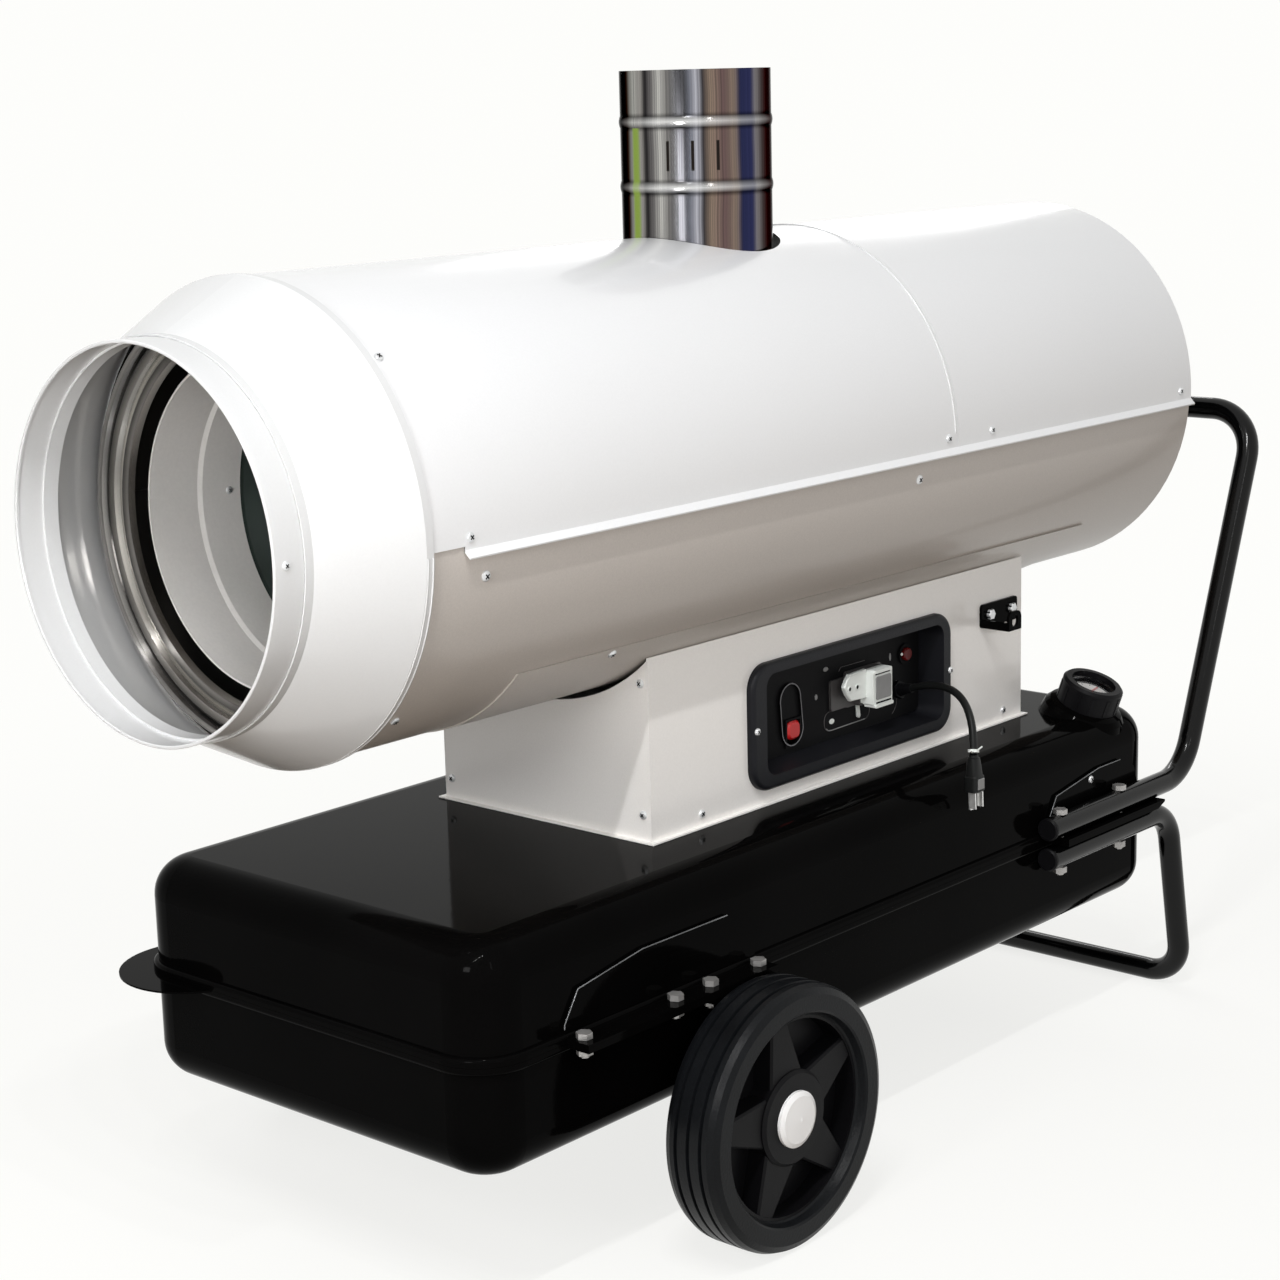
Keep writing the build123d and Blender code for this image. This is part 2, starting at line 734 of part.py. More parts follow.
def filler_round(radius, start, end, hole=0.0):
    """A disc or tube round the filler's axis."""
    face = Circle(radius)
    if hole > 0:
        face -= Circle(hole)
    return extrude(filler_plane(start) * face, end - start)


def tank_shell():
    return tank_block(0.0) - tank_block(TANK_WALL)


def filler_boss():
    """Flared boss under the filler cap, kept outside the tank's inner skin."""
    outline = Polyline((0, -30), (51, -30), (48, -8), (45.5, 1), (41, 6.5), (35, 9.2), (0, 9.2), close=True)
    flare = revolve(Plane.XZ * make_face(outline), Axis.Z, 360)
    return filler_plane(0).location * flare - tank_block(TANK_WALL)


def tank_upper():
    shell = tank_shell() & box((-700, 700), (-300, 300), (SEAM_Z + 0.1, TANK_TOP + 10))
    return shell + seam_belt(True) + filler_boss() - filler_round(26.2, -40, 40)


def tank_lower():
    """Lower pressing, with the rounded ear at one front corner and a drain boss."""
    shell = tank_shell() & box((-700, 700), (-300, 300), (TANK_BOTTOM - 10, SEAM_Z - 0.1))
    shell += seam_belt(False)
    ear = extrude(Pos(*EAR_CENTRE, SEAM_Z - 1.9) * Circle(EAR_R), 1.8)
    shell += ear - tank_block(TANK_WALL)
    return shell - Pos(452, 0, TANK_BOTTOM) * Cylinder(9.1, 20)


def drain_plug():
    """Hexagon plug screwed into the boss under the tank."""
    plug = Pos(452, 0, TANK_BOTTOM - 0.5) * Cylinder(9.0, 8)
    plug += hexagon(Plane(origin=(452, 0, TANK_BOTTOM - 7)), 24.0, 6.5)
    return plug


def filler_neck():
    return filler_round(26.0, -12, 16, 23.0)


def filler_cap():
    """Screwed cap with gripping ribs, a gauge well and the guide tube of its float."""
    cap = filler_round(CAP_R, 9.5, CAP_TOP)
    cap = chamfer(cap.faces().sort_by(Axis.Z)[-1].edges(), 3.0)
    for turn in range(12):
        rib = Rot(0, 0, 30 * turn) * Pos(CAP_R - 1.0, 0) * Rectangle(3.2, 5.0)
        cap += extrude(filler_plane(10.5) * rib, 20)
    cap -= filler_round(26.3, 9, 16.5)
    cap -= filler_round(22.5, 21.5, 32)
    cap -= filler_round(25.0, 28.0, CAP_TOP + 1)
    cap += filler_round(6.0, 3, 17)
    cap += filler_round(4.0, -178, 4)
    cap += filler_round(10.0, -180, -177)
    return cap - filler_round(1.8, -30, 25)


def gauge_needle():
    """Pointer on its thin shaft, which hangs in the guide tube."""
    pointer = filler_round(3.0, 22.5, 24.0)
    pointer += extrude(filler_plane(22.5) * Pos(9.0, 0) * Rectangle(18, 1.8), 1.2)
    return pointer + filler_round(1.74, -25, 22.6)


def gauge_lens():
    return filler_round(24.9, 28.1, 30.3)


def gauge_float():
    """Float ring that slides on the guide tube."""
    ring = filler_round(15.0, -176, -150, 4.06)
    return chamfer(ring.edges().filter_by(GeomType.CIRCLE).sort_by(SortBy.LENGTH)[-2:], 3.0)


# Frame

def side_bracket(x, bolts, setback, slant):
    """Upright plate on the tank's wall, sloped at its ends, and two ledges bolted outside the belt.

    The upright stops short of the ledges by setback, and the lower ledge's end leans by slant.
    """
    x0, x1 = x
    stop = x1 - setback
    y0 = -BRACKET_Y[0]
    ledge_y = (-BRACKET_Y[2], -BRACKET_Y[1])
    low = SEAM_Z + BELT_HALF + 0.4
    upright = across([
        (x0, low),
        (x0, 256),
        (x0 + 18, 284),
        (x0 + 103, 297),
        (stop - 40, 297),
        (stop - 10, 284),
        (stop, 256),
        (stop, low),
    ], y0 - 2.3, y0)
    ledge = box(x, ledge_y, ANGLE_Z)
    strap_top = ANGLE_Z[0] - 0.1
    strap = across([
        (x0, STRAP_LOW),
        (x0, strap_top),
        (x1, strap_top),
        (x1 - slant, STRAP_LOW),
    ], *ledge_y)
    for bolt in bolts:
        hole = Pos(bolt, -BOLT_Y, 240) * Cylinder(BOLT_R + 0.2, 40)
        ledge -= hole
        strap -= hole
    return upright, ledge, strap


def front_brackets():
    return both_sides(*side_bracket(FRONT_BRACKET, FRONT_BOLTS, 0.0, 0.0))


def rear_brackets():
    return both_sides(*side_bracket(REAR_BRACKET, REAR_BOLTS, 12.0, 14.0))


def axle_brackets():
    """Hanging plates that carry the stub axles, bolted under the front brackets."""
    top = STRAP_LOW - 0.2
    plate = across([
        (-302, top),
        (-302, 200),
        (WHEEL_X - 24, 112),
        (WHEEL_X - 14, 102),
        (WHEEL_X + 14, 102),
        (WHEEL_X + 24, 112),
        (-217, 200),
        (-217, top),
    ], -260, -255.5)
    plate += box((-308, -211), (-260, -238), (top - 4, top))
    for x in FRONT_BOLTS[2:]:
        plate -= Pos(x, -BOLT_Y, 236) * Cylinder(BOLT_R + 0.2, 20)
    plate -= rod((WHEEL_X, -265, WHEEL_R), (WHEEL_X, -250, WHEEL_R), AXLE_R + 0.1)
    return both_sides(plate)


def stub_axles():
    """Short axles: nut inside the plate, shoulder outside it, push-on washer at the end."""
    axle = rod((WHEEL_X, -325, WHEEL_R), (WHEEL_X, -246, WHEEL_R), AXLE_R)
    axle += rod((WHEEL_X, -270.0, WHEEL_R), (WHEEL_X, -260.1, WHEEL_R), 14.0)
    axle += rod((WHEEL_X, -323.6, WHEEL_R), (WHEEL_X, -322.0, WHEEL_R), 15.0)
    axle += hexagon(Plane(origin=(WHEEL_X, -255.4, WHEEL_R), z_dir=(0, 1, 0)), 27.0, 8.0)
    return both_sides(axle)


def tube(points, radii):
    """Bent round tube with open ends."""
    path = FilletPolyline(*[Vector(*p) for p in points], radius=radii)
    way = (Vector(*points[1]) - Vector(*points[0])).normalized()
    section = Plane(origin=points[0], z_dir=way) * (Circle(TUBE_R) - Circle(TUBE_BORE))
    return sweep(section, path)


def bolt_holes(x_places, z):
    holes = None
    for x in x_places:
        for y in (-BOLT_Y, BOLT_Y):
            hole = Pos(x, y, z) * Cylinder(BOLT_R + 0.2, 40)
            holes = hole if holes is None else holes + hole
    return holes


def handle_corner_x():
    """Where the sloping leg of the handle meets its flat run."""
    slope = (683.0 - 566.0) / (597.0 - 291.0)
    return BAR_X - slope * (BAR_Z - HANDLE_LOW_Z)


def handle_tube():
    low_x = handle_corner_x()
    points = [
        (TUBE_START, -TUBE_Y, HANDLE_LOW_Z),
        (low_x, -TUBE_Y, HANDLE_LOW_Z),
        (BAR_X, -TUBE_Y, BAR_Z),
        (BAR_X, TUBE_Y, BAR_Z),
        (low_x, TUBE_Y, HANDLE_LOW_Z),
        (TUBE_START, TUBE_Y, HANDLE_LOW_Z),
    ]
    return tube(points, [60, 55, 55, 60]) - bolt_holes(REAR_BOLTS, HANDLE_LOW_Z)


def foot_tube():
    points = [
        (TUBE_START, -TUBE_Y, FOOT_HIGH_Z),
        (516, -TUBE_Y, FOOT_HIGH_Z),
        (FOOT_X, -TUBE_Y, TUBE_R),
        (FOOT_X, TUBE_Y, TUBE_R),
        (516, TUBE_Y, FOOT_HIGH_Z),
        (TUBE_START, TUBE_Y, FOOT_HIGH_Z),
    ]
    return tube(points, [45, 42, 42, 45]) - bolt_holes(REAR_BOLTS, FOOT_HIGH_Z)


def tube_end_caps():
    """Plastic caps pushed into the four open tube ends."""
    caps = []
    for z in (HANDLE_LOW_Z, FOOT_HIGH_Z):
        start = TUBE_START
        cap = rod((start - 4, -TUBE_Y, z), (start - 0.1, -TUBE_Y, z), TUBE_R)
        cap = chamfer(cap.faces().sort_by(Axis.X)[0].edges(), 1.5)
        cap += rod((start - 0.2, -TUBE_Y, z), (start + 12, -TUBE_Y, z), TUBE_BORE - 0.1)
        caps += [cap, mirrored(cap)]
    return Compound(children=caps)


def bolt(x, z_low, z_high):
    """Hexagon bolt and nut on an upright shank, at negative y."""
    shank = rod((x, -BOLT_Y, z_low - 9), (x, -BOLT_Y, z_high + 0.1), BOLT_R)
    head = hexagon(Plane(origin=(x, -BOLT_Y, z_high)), 13.0, 5.5)
    nut = hexagon(Plane(origin=(x, -BOLT_Y, z_low - 6.6)), 13.0, 6.5)
    return shank + head + nut


def frame_bolts():
    bolts = []
    for x in REAR_BOLTS:
        bolts.append(bolt(x, FOOT_HIGH_Z - TUBE_R - 0.1, HANDLE_LOW_Z + TUBE_R + 0.1))
    for x in FRONT_BOLTS[:2]:
        bolts.append(bolt(x, STRAP_LOW - 0.1, ANGLE_Z[1] + 0.1))
    for x in FRONT_BOLTS[2:]:
        bolts.append(bolt(x, STRAP_LOW - 4.3, ANGLE_Z[1] + 0.1))
    return both_sides(*bolts)


# Wheels

def wheel_turned(points):
    """Turn a (y, radius) outline about the wheel axis, for the wheel at negative y."""
    outline = Polyline([(y, WHEEL_R + r) for y, r in points], close=True)
    face = Plane(origin=(WHEEL_X, 0, 0), x_dir=(0, 1, 0), z_dir=(1, 0, 0)) * make_face(outline)
    return revolve(face, Axis((WHEEL_X, 0, WHEEL_R), (0, 1, 0)), 360)


def tyre():
    """Solid rubber tyre with rounded shoulders and three grooves in its tread."""
    inner, outer = -TYRE_Y[0], -TYRE_Y[1]
    points = [
        (outer + RIM_SET, RIM_R + 0.1),
        (outer + RIM_SET - 2, RIM_R + 1.5),
        (outer + 1.5, RIM_R + 4),
        (outer, RIM_R + 6),
        (outer, WHEEL_R - 9),
        (outer + 3, WHEEL_R - 3),
        (outer + 9, WHEEL_R - 0.4),
    ]
    for groove in range(3):
        y = outer + 16 + 14 * groove
        points += [(y - 2, WHEEL_R), (y - 1, WHEEL_R - 3), (y + 1, WHEEL_R - 3), (y + 2, WHEEL_R)]
    points += [
        (inner - 9, WHEEL_R - 0.4),
        (inner - 3, WHEEL_R - 3),
        (inner, WHEEL_R - 9),
        (inner, RIM_R + 4),
        (inner - 5, RIM_R + 0.1),
    ]
    return wheel_turned(points)


def wheel_hub():
    """Moulded centre: rim, five tapered spokes on a closed web, and a boss with a running bore."""
    inner, outer = -TYRE_Y[0] - 5, -TYRE_Y[1] + 5
    rim_front = -TYRE_Y[1] + RIM_SET
    rim_inner = RIM_R - 2.8
    rim = wheel_turned([(rim_front, RIM_R), (rim_front, rim_inner), (inner, rim_inner), (inner, RIM_R)])
    reach = rim_inner + 1.0
    web = wheel_turned([(outer + 27, 44), (outer + 27, reach), (outer + 30, reach), (outer + 30, 44)])
    boss = wheel_turned([
        (outer + 2, AXLE_R + 0.06),
        (outer + 2, 42),
        (outer + 5, 45),
        (inner - 8, 45),
        (inner + 3, 26),
        (inner + 3, AXLE_R + 0.06),
    ])
    hub = rim + web + boss
    for turn in range(5):
        spoke = across([
            (WHEEL_X - 23, WHEEL_R + 38),
            (WHEEL_X - 11.5, WHEEL_R + rim_inner + 0.5),
            (WHEEL_X + 11.5, WHEEL_R + rim_inner + 0.5),
            (WHEEL_X + 23, WHEEL_R + 38),
        ], outer + 6, outer + 28)
        front = spoke.faces().sort_by(Axis.Y)[0]
        spoke = chamfer(front.edges().sort_by(SortBy.LENGTH)[2:4], 2.0)
        hub += spoke.rotate(Axis((WHEEL_X, 0, WHEEL_R), (0, 1, 0)), 72 * turn + HUB_TURN)
    return hub


def hub_cap():
    """Domed cap pressed over the axle end."""
    outer = -TYRE_Y[1] + 5
    return wheel_turned([
        (outer + 1.9, 26.5),
        (outer - 1.0, 26.5),
        (outer - 3.2, 22),
        (outer - 4.2, 0),
        (outer - 2.4, 0),
        (outer - 1.6, 19),
        (outer + 1.9, 21),
    ])


# Fan, motor and fuel parts

def fan_rotor():
    """Hub with six twisted blades."""
    hub = spun([(FAN_X - 22, 0), (FAN_X - 22, 38), (FAN_X + 22, 42), (FAN_X + 22, 0)])
    hub -= rod((FAN_X - 30, 0, AXIS_Z), (FAN_X + 30, 0, AXIS_Z), SHAFT_R + 0.02)
    fan = hub
    for turn in range(6):
        sections = []
        for r, chord, pitch in ((36, 62, 48), (FAN_R, 96, 24)):
            place = Plane(origin=(FAN_X, 0, AXIS_Z + r), x_dir=(sin(radians(pitch)), cos(radians(pitch)), 0))
            sections.append(place * Rectangle(chord, 2.5))
        blade = loft(sections, ruled=True)
        fan += blade.rotate(heater_axis(), 60 * turn)
    return fan


def motor_shaft():
    return rod((FAN_X - 34, 0, AXIS_Z), (MOTOR_X[0] + 60, 0, AXIS_Z), SHAFT_R)


def fan_motor():
    """Finned motor body with end bells and a bore for its shaft."""
    points = [(MOTOR_X[0], SHAFT_R + 0.06), (MOTOR_X[0], 30), (MOTOR_X[0] + 8, 52)]
    for fin in range(6):
        x = MOTOR_X[0] + 16 + 14 * fin
        points += [(x, 58), (x, MOTOR_R), (x + 8, MOTOR_R), (x + 8, 58)]
    points += [(MOTOR_X[1] - 8, 52), (MOTOR_X[1], 36), (MOTOR_X[1], 0), (MOTOR_X[0] + 62, 0)]
    points += [(MOTOR_X[0] + 62, SHAFT_R + 0.06)]
    return spun(points)


def motor_bracket():
    """Upright plate that holds the motor in the lower half of the casing."""
    outer = LOWER_R - SHEET - 0.2
    web = make_face(Polyline([(-66, 0), (66, 0), (130, -220), (-130, -220)], close=True))
    web = (web & Circle(outer)) - Circle(MOTOR_R + 0.15)
    web -= Pos(0, -132) * Rectangle(70, 60)
    web -= Pos(0, -198) * Rectangle(44, 24)
    plate = along(Pos(0, AXIS_Z) * web, 500, 503)
    foot = make_face(Polyline([(-130, -140), (130, -140), (130, -220), (-130, -220)], close=True))
    foot = (foot & Circle(outer)) - Circle(outer - 2)
    foot -= Pos(0, -198) * Rectangle(44, 30)
    return plate + along(Pos(0, AXIS_Z) * foot, 485, 518)


def fuel_pump():
    """Gear pump on the motor's rear end."""
    pump = rod((MOTOR_X[1] + 0.2, 0, AXIS_Z), (MOTOR_X[1] + 34, 0, AXIS_Z), 24.0)
    pump += box((MOTOR_X[1] + 6, MOTOR_X[1] + 30), (-30, 30), (AXIS_Z - 16, AXIS_Z + 16))
    pump += rod((MOTOR_X[1] + 18, -14, AXIS_Z - 30), (MOTOR_X[1] + 18, -14, AXIS_Z - 10), 5.0)
    pump += rod((MOTOR_X[1] + 18, 14, AXIS_Z - 30), (MOTOR_X[1] + 18, 14, AXIS_Z - 10), 5.0)
    return pump


def fuel_line(points, radii):
    path = FilletPolyline(*[Vector(*p) for p in points], radius=radii)
    way = (Vector(*points[1]) - Vector(*points[0])).normalized()
    return sweep(Plane(origin=points[0], z_dir=way) * Circle(3.0), path)


def fuel_lines():
    """Suction line from the tank to the pump, and pressure line on to the burner."""
    pump_x = MOTOR_X[1] + 18
    floor_z = AXIS_Z - 198
    suction = fuel_line([
        (pump_x, -14, AXIS_Z - 30.1),
        (pump_x, -14, floor_z),
        (325, -14, floor_z),
        (325, -14, TANK_TOP + 0.2),
    ], [25, 25])
    pressure = fuel_line([
        (pump_x, 14, AXIS_Z - 30.1),
        (pump_x, 14, floor_z),
        (352, 14, floor_z),
        (352, 14, AXIS_Z - 1),
        (340.1, 14, AXIS_Z - 1),
    ], [25, 25, 5])
    return Compound(children=[suction, pressure])


def ignition_transformer():
    """Ignition transformer standing in the base box."""
    box_part = box((250, 350), (20, 90), (TANK_TOP + 0.2, TANK_TOP + 76))
    box_part = fillet(box_part.edges().filter_by(Axis.Z), 6)
    for x in (275, 325):
        box_part += Pos(x, 55, TANK_TOP + 84) * Cylinder(9, 16)
    return box_part


PARTS = {
    "casing_upper_front": casing_upper_front,
    "casing_upper_rear": casing_upper_rear,
    "casing_lower": casing_lower,
    "saddle_sheet": saddle_sheet,
    "inlet_grille": inlet_grille,
    "outlet_cone": outlet_cone,
    "outlet_collar": outlet_collar,
    "outlet_ring": outlet_ring,
    "inner_duct": inner_duct,
    "heat_exchanger": heat_exchanger,
    "combustion_chamber": combustion_chamber,
    "burner_head": burner_head,
    "flue_pipe": flue_pipe,
    "base_control_side": base_control_side,
    "base_plain_side": base_plain_side,
    "base_front_panel": base_front_panel,
    "base_rear_panel": base_rear_panel,
    "control_bezel": control_bezel,
    "control_face": control_face,
    "switch_frame": switch_frame,
    "power_switch": power_switch,
    "reset_button": reset_button,
    "thermostat_socket": thermostat_socket,
    "thermostat_plug": thermostat_plug,
    "cord_grip": cord_grip,
    "power_cord": power_cord,
    "cord_tie": cord_tie,
    "power_plug": power_plug,
    "plug_face": plug_face,
    "plug_pins": plug_pins,
    "hook_bracket": hook_bracket,
    "tank_upper": tank_upper,
    "tank_lower": tank_lower,
    "drain_plug": drain_plug,
    "filler_neck": filler_neck,
    "filler_cap": filler_cap,
    "gauge_lens": gauge_lens,
    "gauge_needle": gauge_needle,
    "gauge_float": gauge_float,
    "front_brackets": front_brackets,
    "rear_brackets": rear_brackets,
    "axle_brackets": axle_brackets,
    "stub_axles": stub_axles,
    "left_tyre": tyre,
    "left_wheel_hub": wheel_hub,
    "left_hub_cap": hub_cap,
    "right_tyre": lambda: mirrored(tyre()),
    "right_wheel_hub": lambda: mirrored(wheel_hub()),
    "right_hub_cap": lambda: mirrored(hub_cap()),
    "handle_tube": handle_tube,
    "foot_tube": foot_tube,
    "tube_end_caps": tube_end_caps,
    "frame_bolts": frame_bolts,
    "fan_rotor": fan_rotor,
    "motor_shaft": motor_shaft,
    "fan_motor": fan_motor,
    "motor_bracket": motor_bracket,
    "fuel_pump": fuel_pump,
    "fuel_lines": fuel_lines,
    "ignition_transformer": ignition_transformer,
}


def main():
    os.makedirs("parts", exist_ok=True)
    for name, make in PARTS.items():
        solid = make()
        export_step(solid, os.path.join("parts", name + ".step"))
        print(name, len(solid.solids()), round(solid.volume / 1000.0, 1))


main()
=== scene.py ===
import json
import math

import bmesh
import bpy
from mathutils import Matrix, Vector

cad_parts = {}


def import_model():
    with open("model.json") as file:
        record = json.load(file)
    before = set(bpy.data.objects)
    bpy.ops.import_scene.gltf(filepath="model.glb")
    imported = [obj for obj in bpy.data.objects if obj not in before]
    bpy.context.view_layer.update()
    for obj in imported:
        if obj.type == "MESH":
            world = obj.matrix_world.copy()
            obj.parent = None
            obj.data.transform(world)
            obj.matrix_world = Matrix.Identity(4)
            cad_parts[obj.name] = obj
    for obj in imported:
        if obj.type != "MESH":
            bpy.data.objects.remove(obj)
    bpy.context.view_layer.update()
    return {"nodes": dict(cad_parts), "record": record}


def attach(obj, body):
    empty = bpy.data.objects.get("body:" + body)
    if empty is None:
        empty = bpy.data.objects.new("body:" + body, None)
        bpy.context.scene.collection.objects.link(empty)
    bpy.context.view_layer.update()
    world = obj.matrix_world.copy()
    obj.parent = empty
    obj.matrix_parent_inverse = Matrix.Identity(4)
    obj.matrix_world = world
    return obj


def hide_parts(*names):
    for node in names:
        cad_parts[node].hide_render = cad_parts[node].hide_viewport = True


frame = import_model()
nodes = frame["nodes"]
scene = bpy.context.scene
scene.view_settings.view_transform = "Standard"

# Camera, solved from the photograph
PHOTO = 1280  # its width in pixels
FOCAL = 2598.14  # in the same pixels
SENSOR = 36
YAW, PITCH, ROLL = (math.radians(a) for a in (48.38, -12.16, -1.47))
EYE = Vector((-2.0071, -1.6928, 1.0490))

# Height of the heater's long axis
AXIS_Z = 0.687

# Ways on the control side
RIGHT, UP, OUT = (1, 0, 0), (0, 0, 1), (0, -1, 0)


def camera():
    forward = Vector((math.sin(YAW) * math.cos(PITCH), math.cos(YAW) * math.cos(PITCH), math.sin(PITCH)))
    level = Vector((math.cos(YAW), -math.sin(YAW), 0))
    up = level.cross(forward)
    right = level * math.cos(ROLL) + up * math.sin(ROLL)
    top = up * math.cos(ROLL) - level * math.sin(ROLL)
    turn = Matrix((right, top, -forward)).transposed().to_4x4()
    cam = bpy.data.cameras.new("camera")
    cam.sensor_width = SENSOR
    cam.lens = FOCAL * SENSOR / PHOTO
    cam.clip_end = 50
    ob = bpy.data.objects.new("camera", cam)
    ob.matrix_world = Matrix.Translation(EYE) @ turn
    scene.collection.objects.link(ob)
    scene.camera = ob


camera()

# Materials


def start(name, metal, coat, specular):
    """A new material with its shader and its object coordinates."""
    m = bpy.data.materials.new(name)
    m.use_nodes = True
    tree = m.node_tree
    tree.nodes.clear()
    out = tree.nodes.new("ShaderNodeOutputMaterial")
    shader = tree.nodes.new("ShaderNodeBsdfPrincipled")
    tree.links.new(shader.outputs[0], out.inputs[0])
    shader.inputs["Metallic"].default_value = metal
    shader.inputs["Coat Weight"].default_value = coat
    shader.inputs["Coat Roughness"].default_value = 0.05
    shader.inputs["Specular IOR Level"].default_value = specular
    place = tree.nodes.new("ShaderNodeTexCoord").outputs["Object"]
    return m, tree, shader, place


def noise(tree, place, scale, detail=3.0):
    n = tree.nodes.new("ShaderNodeTexNoise")
    n.inputs["Scale"].default_value = scale
    n.inputs["Detail"].default_value = detail
    tree.links.new(place, n.inputs["Vector"])
    return n.outputs["Fac"]


def spread(tree, value, low, high, start_at=0.0, end_at=1.0):
    """The value moved from one range to another."""
    n = tree.nodes.new("ShaderNodeMapRange")
    n.inputs["From Min"].default_value = start_at
    n.inputs["From Max"].default_value = end_at
    n.inputs["To Min"].default_value = low
    n.inputs["To Max"].default_value = high
    tree.links.new(value, n.inputs["Value"])
    return n.outputs["Result"]


def colours(tree, value, stops):
    """A ramp through stops of (place, colour); every place is set before any colour."""
    n = tree.nodes.new("ShaderNodeValToRGB")
    steps = n.color_ramp.elements
    while len(steps) < len(stops):
        steps.new(0.5)
    for step, (at, _) in zip(steps, stops):
        step.position = at
    for step, (_, colour) in zip(steps, stops):
        step.color = (*colour, 1)
    tree.links.new(value, n.inputs["Fac"])
    return n.outputs["Color"]


def greys(tree, value, stops):
    """A ramp of greys through stops of (place, level)."""
    return colours(tree, value, [(at, (level,) * 3) for at, level in stops])


def channel(tree, grey):
    """The level of a grey as one number."""
    n = tree.nodes.new("ShaderNodeSeparateColor")
    tree.links.new(grey, n.inputs[0])
    return n.outputs[0]


def mixed(tree, share, first, second, kind="MIX"):
    """Two colours mixed; each is a socket or three numbers."""
    n = tree.nodes.new("ShaderNodeMix")
    n.data_type = "RGBA"
    n.blend_type = kind
    if isinstance(share, float):
        n.inputs["Factor"].default_value = share
    else:
        tree.links.new(share, n.inputs["Factor"])
    for key, colour in ((6, first), (7, second)):
        if isinstance(colour, tuple):
            n.inputs[key].default_value = (*colour, 1)
        else:
            tree.links.new(colour, n.inputs[key])
    return n.outputs[2]


def maths(tree, kind, first, second=None):
    n = tree.nodes.new("ShaderNodeMath")
    n.operation = kind
    for key, value in enumerate((first, second)):
        if value is None:
            continue
        if isinstance(value, (int, float)):
            n.inputs[key].default_value = value
        else:
            tree.links.new(value, n.inputs[key])
    return n.outputs[0]


def vector_maths(tree, kind, place, *others):
    """A vector node on a socket and constant vectors."""
    n = tree.nodes.new("ShaderNodeVectorMath")
    n.operation = kind
    tree.links.new(place, n.inputs[0])
    for key, other in enumerate(others, 1):
        n.inputs[key].default_value = other
    return n.outputs["Value" if kind in ("DOT_PRODUCT", "LENGTH") else "Vector"]


def dot(tree, place, way):
    return vector_maths(tree, "DOT_PRODUCT", place, way)


def off_axis(tree, place):
    """Distance from the heater's long axis."""
    shift = vector_maths(tree, "SUBTRACT", place, (0, 0, AXIS_Z))
    flat = vector_maths(tree, "MULTIPLY", shift, (0, 1, 1))
    return vector_maths(tree, "LENGTH", flat)


def relief(tree, shader, height, strength, distance=0.001):
    n = tree.nodes.new("ShaderNodeBump")
    n.inputs["Strength"].default_value = strength
    n.inputs["Distance"].default_value = distance
    tree.links.new(height, n.inputs["Height"])
    tree.links.new(n.outputs["Normal"], shader.inputs["Normal"])


def material(name, base, rough=0.4, metal=0.0, coat=0.0, vary=0.04, scale=8.0, rough_vary=0.04,
             grain=400.0, bump=0.02, specular=0.5, speck=0.0, inside=None):
    """A surface with slow colour and roughness change, fine specks and a fine bump.

    inside is (radius, colour): within that radius of the heater's axis the sheet's inner side takes the
    colour, used as painted shade inside the casing.
    """
    m, tree, shader, place = start(name, metal, coat, specular)
    slow = noise(tree, place, scale, 4)
    low = tuple(c * (1 - vary) for c in base)
    high = tuple(min(1, c * (1 + vary)) for c in base)
    colour = colours(tree, slow, [(0.3, low), (0.7, high)])
    fine = noise(tree, place, grain, 3)
    if speck > 0:
        shade = greys(tree, fine, [(0.25, 1 - speck), (0.75, 1 + speck)])
        colour = mixed(tree, 1.0, colour, shade, "MULTIPLY")
    if inside:
        radius, inner = inside
        # Within the radius the sheet takes the inside colour: painted shade.
        within = maths(tree, "LESS_THAN", off_axis(tree, place), radius)
        colour = mixed(tree, within, colour, inner)
    tree.links.new(colour, shader.inputs["Base Color"])
    tree.links.new(spread(tree, slow, max(0.02, rough - rough_vary), rough + rough_vary),
                   shader.inputs["Roughness"])
    relief(tree, shader, fine, bump)
    return m


FLUE_X = 0.001
FLUE_HEIGHTS = (0.90, 1.06)  # the range that its bead ramps run over
DARK_WITHIN = 0.0748  # radius within which the slots' floors and the bore are painted near black, as painted shade
# Top of the flue's green painted reflection
GREEN_REFLECTION_TOP = 1.003


